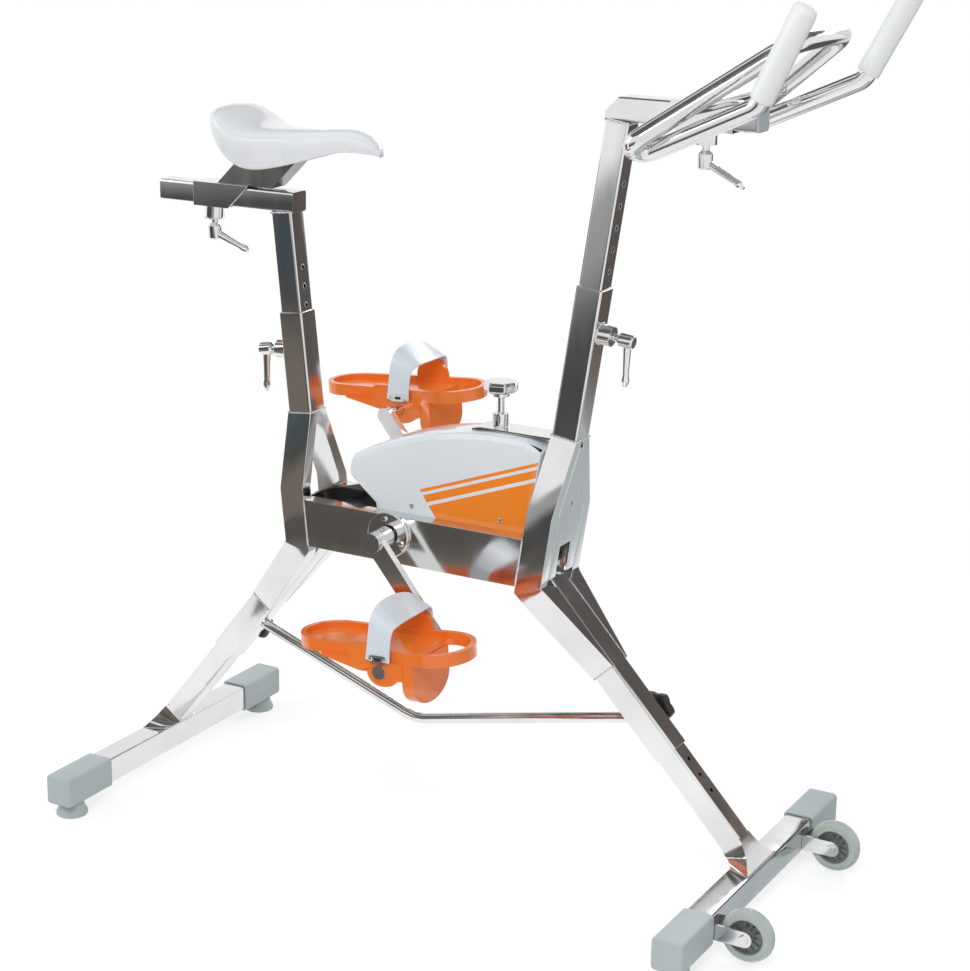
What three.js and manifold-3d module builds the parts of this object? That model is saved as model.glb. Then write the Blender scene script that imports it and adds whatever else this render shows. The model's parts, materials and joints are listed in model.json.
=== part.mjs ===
import * as THREE from 'three';
import { mergeVertices } from 'three/addons/utils/BufferGeometryUtils.js';
import Module from 'manifold-3d';

// Stationary underwater exercise bike. Millimetres, +X towards the handlebar,
// +Y to the rider's left, +Z up. The origin is on the floor, midway along the footprint.

const wasm = await Module();
wasm.setup();

// Fits shared by the whole bike
const weldGap = 0.3;
const slideClearance = 0.5;
const runningClearance = 0.3;
const overrun = 6;

// Stance
const crossbarSpacing = 1011;
const mastSpacing = 388;
const mastMiddleX = -22;
const footHeight = 425;
const frontLeanDegreesShare = 8.38;
const rearLeanDegreesShare = 5.99;

// Square tubing
const sleeveSize = 40;
const sleeveWall = 2;
const postWall = 2;
const tubeCorner = 4;
const tubeCornerSteps = 2;

// Beams and side tubes, heights measured from the frame's foot
const frameHalfWidth = 59.5;
const sideTubeThickness = 21;
const beamThickness = 23.5;
const beamRise = 3;
const beamHeight = 71.5;
const frontKinkRise = 39.5;
const rearKinkRise = 13.5;
const flapStart = 18;
const mergeOuter = 24;
const frontMergeLength = 155;
const rearMergeLength = 145;

// Masts, lengths measured up each mast
const frontSleeveLow = 221;
const frontSleeveLength = 217;
const frontPostShown = 230;
const frontPostInserted = 185;
const rearSleeveLow = 195;
const rearSleeveLength = 149.5;
const rearPostShown = 147.5;
const rearPostInserted = 120;
const frontHolePitch = 30.5;
const frontHoleCount = 5;
const frontHoleStart = 25;
const rearHolePitch = 28;
const rearHoleCount = 3;
const rearHoleStart = 9;
const pinHoleRadius = 3.2;
const holeSides = 8;

// Front gusset
const gussetThickness = 4;
const gussetFoot = 16;
const gussetTopInset = 12;
const slotHalfWidth = 17;
const slotTop = 63;
const drainRadius = 3;
const drainUp = 124;

// Legs, each kink's place measured from the middle of its crossbar's top
const frontKinkBack = 21;
const frontKinkAbove = 23;
const rearKinkBack = 18.5;
const rearKinkAbove = 19.5;
const legSleeveRise = 16;
const frontLegShown = 159;
const rearLegShown = 164;
const legInserted = 150;
const legHolePitch = 27;
const legHoleCount = 3;
const legHoleStart = 22;
const shoeNarrow = 34;
const shoeWide = 49;
const shoeFlareShare = 0.3;

// Crossbars, end caps and feet
const crossbarSize = 40;
const crossbarWall = 2;
const crossbarHeight = 45.5;
const crossbarHalfLength = 276;
const capLength = 100;
const capWall = 3;
const capCorner = 3;
const footRadius = 24;
const footNeckRadius = 18;
const footSkirt = 2.5;
const footInset = 30;
const footLip = 5;
const roundSides = 20;

// Transport wheels
const wheelRadius = 38.5;
const wheelWidth = 24;
const wheelFloorGap = 3.8;
const wheelGap = 3.4;
const forkCapGap = 2.1;
const hubRadius = 25;
const hubBoreRadius = 4.3;
const hubBossWall = 4;
const hubRimThickness = 3;
const webThickness = 8;
const spokeWindowWidth = 3.4;
const spokeWindowInset = 1.2;
const spokeWindowCount = 12;
const tyreShoulderShare = 0.86;
const tyreCrownShare = 0.42;
const tyreCrown = 1.2;
const tyreShoulder = 5.4;
const forkPlateThickness = 3;
const forkHeight = 23;
const forkGap = 1.2;
const boltHeadRadius = 7;
const boltHeadThickness = 4;

// Stretcher between the legs
const stretcherRadius = 8;
const rearStretcherBack = 84;
const frontStretcherBack = 72;
const stretcherBendBack = 23.5;
const stretcherDrop = 259;
const stretcherBendRadius = 60;

// Clamp levers
const clampBossRadius = 14.5;
const clampBossLength = 19;
const clampStudRadius = 5;
const clampStudLength = 7;
const clampHubRadius = 10;
const clampHubLength = 25;
const clampHubChamfer = 2;
const clampArmSeatShare = 0.6;
const clampArmLength = 64;
const clampArmRootRadius = 6;
const clampArmTipRadius = 4.2;
const clampArmKnobRadius = 5.4;
const frontClampBelow = 62;
const rearClampBelow = 58;
const hangLeanShare = 0.12;
const saddleLeverSlopeShare = 0.37;
const barLeverSlopeShare = 0.53;

// Star knobs on the left faces of the leg sleeves
const starKnobRadius = 25;
const starKnobThickness = 16;
const starStemRadius = 8;
const starStemLength = 8;
const starLobeCount = 6;
const starLobeShare = 0.1;
const starBoltRadius = 5;
const frontStarBack = 60;
const rearStarBack = 48;

// Seat tube, saddle slider and bracket
const seatTubeHeight = 30;
const seatTubeLength = 238;
const seatTubeAhead = 21;
const saddleSliderBack = 154;
const saddleSliderTopLength = 98;
const saddleSliderWall = 2.5;
const saddleClampIn = 24;
const bracketIn = 42;
const bracketLength = 97;
const bracketRise = 54;
const bracketShift = 54;
const bracketWidth = 34;
const railRadius = 3.5;
const railSpacing = 30;
const railBridgeLength = 40;
const railRiseShare = 0.87;
const railRearShare = 0.13;
const railFrontShare = 0.8;
const railSpreadShare = 1.3;
const railNoseShare = 0.3;
const railBendShare = 0.4;

// Saddle
const saddleIn = 31;
const saddleLength = 284;
const saddleStack = 34.4;
const saddleHalfWidth = 73;
const saddleNoseHalfWidth = 19;
const saddleTailLift = 27;
const saddleNoseLift = 5;
const saddleNoseDrop = 27;
const saddleSkirt = 50;
const saddleCrown = 10;
const saddleEndHalfWidth = 2;
const saddleStations = 18;
const saddleSectionShares = [
  [0, 1, 0], [0.35, 0.93, 0], [0.68, 0.68, 0], [0.9, 0.2, 0], [1, 0, 0.115], [0.99, 0, 0.46], [0.9, 0, 0.92],
  [0.8, 0, 1], [0.72, 0, 0.85], [0.62, 0, 0.33], [0, 0, 0.27],
];
const undersideShare = 0.33;
const tailEndShare = 0.21;
const noseStartShare = 0.82;
const wideShares = [0.21, 0.28];
const tailLiftShares = [0.11, 0.13];
const noseLiftShares = [0.82, 0.15];
const skirtShares = [0.3, 0.34];
const skirtLeastShare = 0.37;
const skirtEndShare = 0.05;
const endRoundShare = 1.02;
const noseBluntShare = 0.7;

// Handlebar carrier and slider
const carrierHeight = 33;
const carrierAhead = 197.6;
const carrierChamfer = 20;
const plugThickness = 4;
const plugDepth = 12;
const barSliderLength = 89;
const barSliderBack = 120;
const barSliderWall = 2.5;
const barClampIn = 44;
const crossTubeRadius = 10;
const crossTubeIn = 85;
const wedgeWidth = 30;
const wedgeIn = 25;

// Handlebar, places measured from the slider's rear end and the carrier's underside
const barTubeRadius = 12.5;
const barTubeSides = 12;
const hairpinAhead = 38;
const hairpinHalfWidth = 160;
const hairpinDrop = 14.5;
const armHalfWidth = 186;
const armRise = 22;
const archCornerAhead = 192;
const archCornerHalfWidth = 100;
const archCornerRise = 122;
const archFrontAhead = 200;
const archFrontRise = 125;
const archRadius = 55;
const archCrownRadius = 300;
const gripBaseAhead = 189;
const gripBaseHalfWidth = 182;
const gripBaseRise = 55;
const gripTipAhead = 249;
const gripTipHalfWidth = 194;
const gripTipRise = 176;
const gripBendRadius = 25;
const gripRadius = 17.5;
const gripEndWall = 3;
const gripEdge = 2;
const gripRound = 9;
const gripRoundShare = 0.3;

// Crank, places measured from the frame's faces
const crankBack = 33;
const crankRise = 43;
const crankLength = 165;
const crankDegreesShare = -51;
const axleRadius = 10;
const axleSeat = 25;
const flangeRadius = 34;
const flangeThickness = 6;
const flangeEdge = 1;
const flangeSpigotRadius = 16;
const flangeBoltRing = 25;
const flangeBoltRadius = 4;
const flangeBoltHeight = 3.5;
const flangeBoltCount = 3;
const flangeBoltDegreesShare = 100;
const crankHubRadius = 15;
const crankHubGap = 1;
const crankHubLength = 42;
const armOffset = 24;
const armThickness = 12;
const armEdge = 1;
const armEndRadius = 12;
const spindleRadius = 7;
const spindleShoulder = 34;
const spindleHeadRadius = 10.5;
const spindleHeadThickness = 4;

// Pedals, heights measured from the spindle's axis
const pedalWidth = 112;
const pedalTiltDegreesShare = 4.3;
const pedalHeelBack = 157;
const pedalToeForward = 114;
const pedalRimTop = 31;
const pedalRimHeight = 18;
const pedalWellDepth = 8;
const pedalWall = 8;
const pedalHeelWidthShare = 0.8;
const pedalHeelRoundShare = 0.3;
const pedalToeRoundShare = 0.47;
const pedalLobeRadius = 21.5;
const pedalWebBack = 100;
const pedalWebKnee = 34;
const pedalWebLow = 2;
const pedalNotch = 26;
const pedalNotchDrop = 11;
const lugBack = 50;
const lugForward = 4;
const lugRise = 6;
const lugChamfer = 8;
const cheekBack = 30;
const cheekForward = 24;
const cheekRise = 29;
const paddleBack = 34;
const paddleThickness = 17;
const paddleDepth = 65;
const paddleFlat = 31;
const paddleLeftInset = 12;
const paddleRightInset = 1;
const toeHoleOverlap = 3;
const toeHoleCorner = 14;

// Straps
const strapThickness = 3;
const strapPeak = 93;
const strapReach = 27;
const strapSteps = 20;

// Hood over the drive
const hoodWall = 3;
const hoodRise = 137.5;
const hoodEdge = 9;
const hoodEdgeSteps = 2;
const hoodArchRadius = 510;
const hoodCrestBack = 60;
const hoodShoulderBack = 30;
const hoodShoulderDrop = 9;
const hoodFrontGap = 3;
const hoodTailAhead = 75;
const hoodTailRise = 47;
const hoodTailRound = 14;
const hoodChinAhead = 4;
const hoodChinRise = 34;
const hoodHeelAhead = 44;
const hoodHeelRise = 1.5;
const hoodToeRoom = 9;

// Drive
const pulleyRadius = 21;
const pulleyWidth = 12;
const pulleyWallGap = 4.7;
const grooveChamfer = 1;
const beltWidth = 9;
const beltThickness = 2.4;
const flywheelEndGap = 6.5;
const flywheelRise = 18.5;
const flywheelRadius = 60;
const flywheelWidth = 14;
const flywheelShaftRadius = 8;
const flywheelPulleyRadius = 14;

// Brake
const shoeGap = 1.5;
const shoeThickness = 12;
const shoeLength = 56;
const shoeWidth = 18;
const collarWall = 4;
const collarHeight = 16;
const screwRadius = 4.8;
const socketDepth = 6;
const shoeRise = 4.5;
const topPlateLift = 1;
const topPlateBack = 35;
const topPlateTab = 13;
const topPlateTabDrop = 3;
const topPlateHalfWidth = 21;
const topPlateThickness = 3;
const towerRadius = 11;
const towerHeight = 19.5;
const towerSlotWidth = 9;
const towerFloor = 3;
const brakeKnobRadius = 24;
const brakeKnobThickness = 15;
const brakeKnobRise = 51;
const brakeKnobLobeCount = 7;
const brakeKnobLobeShare = 0.06;
const brakeHubRadius = 12;
const brakeHubHeight = 8;
const partSink = 1;

// Rear hood bracket
const bracketPlateThickness = 4;
const bracketDrop = 40;
const bracketLip = 2;
const tongueGap = 5;
const tongueRise = 18;

const rad = THREE.MathUtils.degToRad;

// Looks
const looks = {
  steel: { color: 0xc4c6c8, roughness: 0.16, metalness: 1 },
  darkSteel: { color: 0x6f6b68, roughness: 0.25, metalness: 1 },
  capPlastic: { color: 0xa9b1b1, roughness: 0.55, metalness: 0 },
  orange: { color: 0xf0762b, roughness: 0.4, metalness: 0 },
  strap: { color: 0xc3d0dc, roughness: 0.35, metalness: 0 },
  white: { color: 0xe9edee, roughness: 0.3, metalness: 0 },
  hood: { color: 0xd8dfe6, roughness: 0.2, metalness: 0 },
  black: { color: 0x1d1d1f, roughness: 0.6, metalness: 0 },
  tyre: { color: 0xb9c6bd, roughness: 0.2, metalness: 0 },
};

// Solid helpers
function toSolid(geometry) {
  const bare = geometry.index ? geometry.toNonIndexed() : geometry.clone();
  bare.deleteAttribute('normal');
  bare.deleteAttribute('uv');
  const merged = mergeVertices(bare, 1e-4);
  return new wasm.Manifold(new wasm.Mesh({
    numProp: 3,
    vertProperties: new Float32Array(merged.attributes.position.array),
    triVerts: new Uint32Array(merged.index.array),
  }));
}

function toGeometry(solid) {
  const mesh = solid.getMesh();
  const geometry = new THREE.BufferGeometry();
  geometry.setAttribute('position', new THREE.BufferAttribute(new Float32Array(mesh.vertProperties), 3));
  geometry.setIndex(new THREE.BufferAttribute(new Uint32Array(mesh.triVerts), 1));
  return geometry;
}

function join(first, ...others) {
  return toGeometry(others.reduce((sum, other) => sum.add(toSolid(other)), toSolid(first)));
}

function cut(first, ...tools) {
  return toGeometry(tools.reduce((rest, tool) => rest.subtract(toSolid(tool)), toSolid(first)));
}

function trim(first, other) {
  return toGeometry(toSolid(first).intersect(toSolid(other)));
}

// Closed skin through rings of points that all run the same way round
function loft(rings) {
  const count = rings[0].length;
  const points = rings.flat();
  const index = [];
  for (let ring = 0; ring + 1 < rings.length; ring += 1) {
    for (let side = 0; side < count; side += 1) {
      const next = (side + 1) % count;
      const a = ring * count + side;
      const b = ring * count + next;
      index.push(a, b, b + count, a, b + count, a + count);
    }
  }
  const last = (rings.length - 1) * count;
  const middles = [rings[0], rings[rings.length - 1]].map(middleOf);
  for (let side = 0; side < count; side += 1) {
    const next = (side + 1) % count;
    index.push(points.length, next, side);
    index.push(points.length + 1, last + side, last + next);
  }
  points.push(...middles);
  const geometry = new THREE.BufferGeometry().setFromPoints(points);
  geometry.setIndex(index);
  return facingOut(geometry);
}

function middleOf(ring) {
  return ring.reduce((sum, point) => sum.add(point), new THREE.Vector3()).divideScalar(ring.length);
}

function facingOut(geometry) {
  const position = geometry.attributes.position;
  const index = geometry.index.array;
  const corner = [new THREE.Vector3(), new THREE.Vector3(), new THREE.Vector3()];
  let volume = 0;
  for (let i = 0; i < index.length; i += 3) {
    corner.forEach((point, k) => point.fromBufferAttribute(position, index[i + k]));
    volume += corner[0].dot(corner[1].clone().cross(corner[2]));
  }
  if (volume < 0) {
    const flipped = Array.from(index);
    for (let i = 0; i < flipped.length; i += 3) {
      [flipped[i], flipped[i + 1]] = [flipped[i + 1], flipped[i]];
    }
    geometry.setIndex(flipped);
  }
  return geometry;
}

function vec(x, y, z) {
  return new THREE.Vector3(x, y, z);
}

const upward = vec(0, 0, 1);
const leftward = vec(0, 1, 0);
const forward = vec(1, 0, 0);

function box(x0, x1, y0, y1, z0, z1) {
  const geometry = new THREE.BoxGeometry(x1 - x0, y1 - y0, z1 - z0);
  return geometry.translate((x0 + x1) / 2, (y0 + y1) / 2, (z0 + z1) / 2);
}

function outlineOf(points) {
  return new THREE.Shape(points.map(([x, y]) => new THREE.Vector2(x, y)));
}

// Outline in the X-Z plane, given thickness across Y
function slab(outline, y0, y1, curveSegments = 10) {
  const shape = outline instanceof THREE.Shape ? outline : outlineOf(outline);
  const geometry = new THREE.ExtrudeGeometry(shape, { depth: y1 - y0, bevelEnabled: false, curveSegments });
  return geometry.rotateX(Math.PI / 2).translate(0, y1, 0);
}

// Outline in the X-Y plane, given thickness up Z
function plate(shape, z0, z1, curveSegments = 10) {
  const geometry = new THREE.ExtrudeGeometry(shape, { depth: z1 - z0, bevelEnabled: false, curveSegments });
  return geometry.translate(0, 0, z0);
}

// Outline in the Y-Z plane, given thickness along X
function wallAcross(shape, x0, x1, curveSegments = 12) {
  const geometry = new THREE.ExtrudeGeometry(shape, { depth: x1 - x0, bevelEnabled: false, curveSegments });
  geometry.applyMatrix4(new THREE.Matrix4().makeBasis(leftward, upward, forward));
  return geometry.translate(x0, 0, 0);
}

// Turned piece: profile as [radius, height] from the axis and back to it, about +Z
function turned(profile, sides = roundSides) {
  const points = profile.map(([radius, height]) => new THREE.Vector2(radius, height));
  return new THREE.LatheGeometry(points, sides).rotateX(Math.PI / 2);
}

function rod(radius, length, sides = roundSides) {
  return turned([[0, 0], [radius, 0], [radius, length], [0, length]], sides);
}

// Moves a piece made about +Z so that +Z runs along the given direction from the given point
function aim(geometry, origin, direction, sideways = leftward) {
  const z = direction.clone().normalize();
  const x = sideways.clone().cross(z).normalize();
  const y = z.clone().cross(x);
  return geometry.applyMatrix4(new THREE.Matrix4().makeBasis(x, y, z).setPosition(origin));
}

// A round bar along Y, from one side to the other
function crossRod(radius, x, z, y0, y1, sides = roundSides) {
  return aim(rod(radius, y1 - y0, sides), vec(x, y0, z), leftward, upward);
}

function roundedSquare(width, height, corner, steps = tubeCornerSteps) {
  const points = [];
  const inset = [width / 2 - corner, height / 2 - corner];
  const quarters = [[1, 1], [-1, 1], [-1, -1], [1, -1]];
  quarters.forEach(([sx, sy], quarter) => {
    for (let step = 0; step <= steps; step += 1) {
      const angle = (quarter + step / steps) * Math.PI / 2;
      const x = sx * inset[0] + corner * Math.cos(angle);
      const y = sy * inset[1] + corner * Math.sin(angle);
      points.push(new THREE.Vector2(x, y));
    }
  });
  return points;
}

function squareTube(width, height, wall, length) {
  const shape = new THREE.Shape(roundedSquare(width, height, tubeCorner));
  if (wall) {
    const bore = roundedSquare(width - wall * 2, height - wall * 2, tubeCorner - wall, 1);
    shape.holes.push(new THREE.Path(bore));
  }
  return new THREE.ExtrudeGeometry(shape, { depth: length, bevelEnabled: false });
}

// A path of straight runs with rounded bends, sampled only where it turns
class BentPath extends THREE.Curve {
  constructor(corners, radii, step = Math.PI / 8) {
    super();
    this.samples = [corners[0].clone()];
    for (let i = 1; i + 1 < corners.length; i += 1) {
      this.addBend(corners[i - 1], corners[i], corners[i + 1], radii[i - 1], step);
    }
    this.samples.push(corners[corners.length - 1].clone());
  }

  addBend(before, corner, after, radius, step) {
    const into = corner.clone().sub(before).normalize();
    const out = after.clone().sub(corner).normalize();
    const turn = into.angleTo(out);
    const reach = radius * Math.tan(turn / 2);
    const start = corner.clone().addScaledVector(into, -reach);
    const side = out.clone().addScaledVector(into, -out.dot(into)).normalize();
    const centre = start.clone().addScaledVector(side, radius);
    const steps = Math.max(2, Math.ceil(turn / step));
    for (let k = 0; k <= steps; k += 1) {
      const angle = turn * k / steps;
      this.samples.push(centre.clone()
        .addScaledVector(side, -radius * Math.cos(angle))
        .addScaledVector(into, radius * Math.sin(angle)));
    }
  }

  getPoint(t, target = new THREE.Vector3()) {
    const place = t * (this.samples.length - 1);
    const low = Math.min(Math.floor(place + 1e-9), this.samples.length - 2);
    return target.lerpVectors(this.samples[low], this.samples[low + 1], place - low);
  }

  getPointAt(t, target) {
    return this.getPoint(t, target);
  }

  getTangentAt(t, target = new THREE.Vector3()) {
    const last = this.samples.length - 1;
    const place = Math.round(t * last);
    const before = this.samples[Math.max(place - 1, 0)];
    const here = this.samples[place];
    const after = this.samples[Math.min(place + 1, last)];
    const into = here.clone().sub(before).normalize();
    const out = after.clone().sub(here).normalize();
    return target.copy(into.add(out)).normalize();
  }
}

function bentRod(path, radius, sides) {
  const points = [];
  for (let side = 0; side < sides; side += 1) {
    const angle = side / sides * Math.PI * 2;
    points.push(new THREE.Vector2(radius * Math.cos(angle), radius * Math.sin(angle)));
  }
  const shape = new THREE.Shape(points);
  return new THREE.ExtrudeGeometry(shape, { steps: path.samples.length - 1, extrudePath: path });
}

// Lines of the frame: each has a foot, a direction along it and one out of it
function mastLine(x, leanDegrees, sense) {
  const angle = rad(leanDegrees);
  return {
    foot: vec(x, 0, footHeight),
    along: vec(sense * Math.sin(angle), 0, Math.cos(angle)),
    out: vec(Math.cos(angle), 0, -sense * Math.sin(angle)),
  };
}

function legLine(foot, crossX, kinkBack, kinkAbove) {
  const sense = Math.sign(crossX);
  const kink = vec(crossX - sense * kinkBack, 0, crossbarHeight + crossbarSize / 2 + kinkAbove);
  const along = kink.clone().sub(foot).normalize();
  return { foot, along, out: vec(-along.z, 0, along.x), length: kink.distanceTo(foot), crossX };
}

const postSize = sleeveSize - 2 * sleeveWall - 2 * slideClearance;
const frontMast = mastLine(mastMiddleX + mastSpacing / 2, frontLeanDegreesShare, 1);
const rearMast = mastLine(mastMiddleX - mastSpacing / 2, rearLeanDegreesShare, -1);
const frontLeg = legLine(frontMast.foot, crossbarSpacing / 2, frontKinkBack, frontKinkAbove);
const rearLeg = legLine(rearMast.foot, -crossbarSpacing / 2, rearKinkBack, rearKinkAbove);
const beamLow = footHeight + beamRise;
const beamHigh = beamLow + beamHeight;
const beamInner = frameHalfWidth - beamThickness;
const frameInner = frameHalfWidth - sideTubeThickness;
const frontSleeveHigh = frontSleeveLow + frontSleeveLength;
const rearSleeveHigh = rearSleeveLow + rearSleeveLength;
const frontPostTop = frontSleeveHigh + frontPostShown;
const rearPostTop = rearSleeveHigh + rearPostShown;
const frontKink = beamRise + beamHeight + frontKinkRise;
const rearKink = beamRise + beamHeight + rearKinkRise;
const frontClampUp = frontSleeveHigh - frontClampBelow;
const rearClampUp = rearSleeveHigh - rearClampBelow;
const frontLegSleeveEnd = frontLeg.length - frontLegShown;
const rearLegSleeveEnd = rearLeg.length - rearLegShown;
const frontStarDown = frontLegSleeveEnd - frontStarBack;
const rearStarDown = rearLegSleeveEnd - rearStarBack;

function on(line, along, out = 0, y = 0) {
  return line.foot.clone().addScaledVector(line.along, along).addScaledVector(line.out, out).setY(y);
}

// X of a mast's face at a height
function mastX(mast, z, out) {
  const along = (z - mast.foot.z - mast.out.z * out) / mast.along.z;
  return on(mast, along, out).x;
}

// A square tube on a line, from one length along it to another
function tubeOn(line, size, wall, from, to) {
  return aim(squareTube(size, size, wall, to - from), on(line, from), line.along);
}

// Pin holes through one face of a tube, side +1 for the face along the line's out direction
function pinHoles(line, size, start, pitch, count, side) {
  const holes = [];
  for (let i = 0; i < count; i += 1) {
    const hole = rod(pinHoleRadius, size, holeSides);
    holes.push(aim(hole, on(line, start + i * pitch), line.out.clone().multiplyScalar(side)));
  }
  return holes;
}

const parts = new THREE.Group();

function add(name, geometry, look) {
  const solid = geometry.index ? geometry.toNonIndexed() : geometry;
  solid.deleteAttribute('uv');
  solid.computeVertexNormals();
  const mesh = new THREE.Mesh(solid, new THREE.MeshStandardMaterial(looks[look]));
  mesh.name = name;
  parts.add(mesh);
}

function addPair(name, make, look) {
  [[1, 'left'], [-1, 'right']].forEach(([side, word]) => add(`${name}_${word}`, make(side), look));
}

// Masts: open sleeves with a welded clamp boss
function mastSleeve(mast, low, high, clampUp, side) {
  const outward = mast.out.clone().multiplyScalar(side);
  const tube = tubeOn(mast, sleeveSize, sleeveWall, low, high);
  const seat = on(mast, clampUp, side * (sleeveSize - sleeveWall) / 2);
  const boss = aim(rod(clampBossRadius, clampBossLength + sleeveWall / 2), seat, outward);
  const bored = on(mast, clampUp, side * postSize / 2);
  const stud = aim(rod(clampStudRadius + runningClearance, clampBossLength + sleeveSize), bored, outward);
  return cut(join(tube, boss), stud);
}

// Side tubes: spread from the mast, upright past the beams, drawn in onto the leg sleeve
function sideTube(mast, leg, sleeveLow, kink, mergeLength, side) {
  const half = sleeveSize / 2;
  const legInner = half + weldGap;
  const flapOuter = frameHalfWidth - (frameHalfWidth - mergeOuter) * flapStart / mergeLength;
  const mitre = mast.out.clone().add(leg.out).normalize();
  const mitreReach = half / mitre.dot(mast.out);
  const ring = (at, inner, outer) => [
    at(-1).setY(side * inner), at(1).setY(side * inner), at(1).setY(side * outer), at(-1).setY(side * outer),
  ];
  const skin = loft([
    ring((out) => on(mast, sleeveLow - weldGap, out * half), weldGap / 2, half),
    ring((out) => on(mast, kink, out * half), frameInner, frameHalfWidth),
    ring((out) => mast.foot.clone().addScaledVector(mitre, out * mitreReach), frameInner, frameHalfWidth),
    ring((out) => on(leg, flapStart, out * half), legInner, flapOuter),
    ring((out) => on(leg, mergeLength, out * half), legInner, mergeOuter),
  ]);
  return cut(skin, sideTubeBore(mast, kink, sleeveLow - weldGap, side));
}

// Bore of a side tube, open at the end under the mast sleeve
function sideTubeBore(mast, kink, top, side) {
  const half = sleeveSize / 2 - sleeveWall;
  const ring = (along, inner, outer) => {
    const y0 = side * (inner + sleeveWall);
    const y1 = side * (outer - sleeveWall);
    const corners = [[-half, y0], [half, y0], [half, y1], [-half, y1]];
    return corners.map(([out, y]) => on(mast, along, out, y));
  };
  const innerSlope = (frameInner - weldGap / 2) / (top - kink);
  const outerSlope = (frameHalfWidth - sleeveSize / 2) / (top - kink);
  return loft([
    ring(top + overrun, weldGap / 2 - innerSlope * overrun, sleeveSize / 2 - outerSlope * overrun),
    ring(kink, frameInner, frameHalfWidth),
    ring(beamRise, frameInner, frameHalfWidth),
  ]);
}

// Gusset: plate between the spreading tubes, flush with their outer face, slotted at the foot
function gusset(mast, sleeveLow, kink) {
  const top = sleeveLow - weldGap;
  const inner = frameInner - weldGap;
  const plateTop = top - gussetTopInset;
  const topHalf = inner * gussetTopInset / (top - kink);
  const shape = outlineOf([
    [-inner, gussetFoot], [-slotHalfWidth, gussetFoot], [-slotHalfWidth, slotTop], [slotHalfWidth, slotTop],
    [slotHalfWidth, gussetFoot], [inner, gussetFoot], [inner, kink],
    [topHalf, plateTop], [-topHalf, plateTop], [-inner, kink],
  ]);
  const drain = new THREE.Path();
  drain.absarc(0, drainUp, drainRadius, 0, Math.PI * 2);
  shape.holes.push(drain);
  const sheet = plate(shape, 0, gussetThickness, 6);
  const matrix = new THREE.Matrix4().makeBasis(leftward, mast.along, mast.out);
  matrix.setPosition(on(mast, 0, sleeveSize / 2 - gussetThickness));
  return sheet.applyMatrix4(matrix);
}

// Beams: flat tubes between the side tubes, open at both ends, bored for the crank bearing
function beam(side) {
  const half = sleeveSize / 2;
  const rear = (z) => mastX(rearMast, z, half) + weldGap;
  const front = (z) => mastX(frontMast, z, -half) - weldGap;
  const outline = (low, high, beyond) => [
    [rear(low) - beyond, low], [front(low) + beyond, low],
    [front(high) + beyond, high], [rear(high) - beyond, high],
  ];
  const bore = outline(beamLow + sleeveWall, beamHigh - sleeveWall, overrun);
  const [y0, y1] = side > 0 ? [beamInner, frameHalfWidth] : [-frameHalfWidth, -beamInner];
  const seat = crossRod(flangeSpigotRadius + weldGap, crankX, crankZ, y0 - overrun, y1 + overrun);
  return cut(slab(outline(beamLow, beamHigh, 0), y0, y1), slab(bore, y0 + sleeveWall, y1 - sleeveWall), seat);
}

// Legs
function legSleeve(leg, end, starDown) {
  const tube = tubeOn(leg, sleeveSize, sleeveWall, -legSleeveRise, end);
  const bolt = aim(rod(starBoltRadius, sleeveSize), on(leg, starDown), leftward, upward);
  return cut(tube, bolt);
}

// Inner leg: square tube, kinked at the bottom into a flared shoe that lands on the crossbar
function innerLeg(leg, sleeveEnd) {
  const half = postSize / 2;
  const sense = Math.sign(leg.crossX);
  const tube = tubeOn(leg, postSize, postWall, sleeveEnd - legInserted, leg.length);
  const holes = pinHoles(leg, postSize, sleeveEnd + legHoleStart, legHolePitch, legHoleCount, sense);
  const top = crossbarHeight + crossbarSize / 2;
  const reach = crossbarSize / 2 - tubeCorner;
  const ring = (inner, outer, narrow, wide) => [
    inner.clone().setY(-narrow), outer.clone().setY(-wide),
    outer.clone().setY(wide), inner.clone().setY(narrow),
  ];
  const lower = sense > 0 ? -half : half;
  const kinkIn = on(leg, leg.length, lower);
  const kinkOut = on(leg, leg.length, -lower);
  const footIn = vec(leg.crossX - sense * reach, 0, top);
  const footOut = vec(leg.crossX + sense * reach, 0, top);
  const midSpread = (spread) => half + (spread - half) * shoeFlareShare;
  const midIn = kinkIn.clone().lerp(footIn, 1 / 2);
  const midOut = kinkOut.clone().lerp(footOut, 1 / 2);
  const shoe = loft([
    ring(on(leg, leg.length - overrun, lower), on(leg, leg.length - overrun, -lower), half, half),
    ring(kinkIn, kinkOut, half, half),
    ring(midIn, midOut, midSpread(shoeNarrow), midSpread(shoeWide)),
    ring(footIn, footOut, shoeNarrow, shoeWide),
    ring(footIn.clone().setZ(crossbarHeight), footOut.clone().setZ(crossbarHeight), shoeNarrow, shoeWide),
  ]);
  const start = vec(leg.crossX, -crossbarHalfLength, crossbarHeight);
  const bar = aim(squareTube(crossbarSize, crossbarSize, 0, crossbarHalfLength * 2), start, leftward, upward);
  const inside = crossbarSize - crossbarWall * 2;
  const boreReach = crossbarHalfLength + overrun;
  const boreStart = vec(leg.crossX, -boreReach, crossbarHeight);
  const bore = aim(squareTube(inside, inside, 0, boreReach * 2), boreStart, leftward, upward);
  return cut(join(tube, shoe, bar), bore, ...holes);
}

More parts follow.
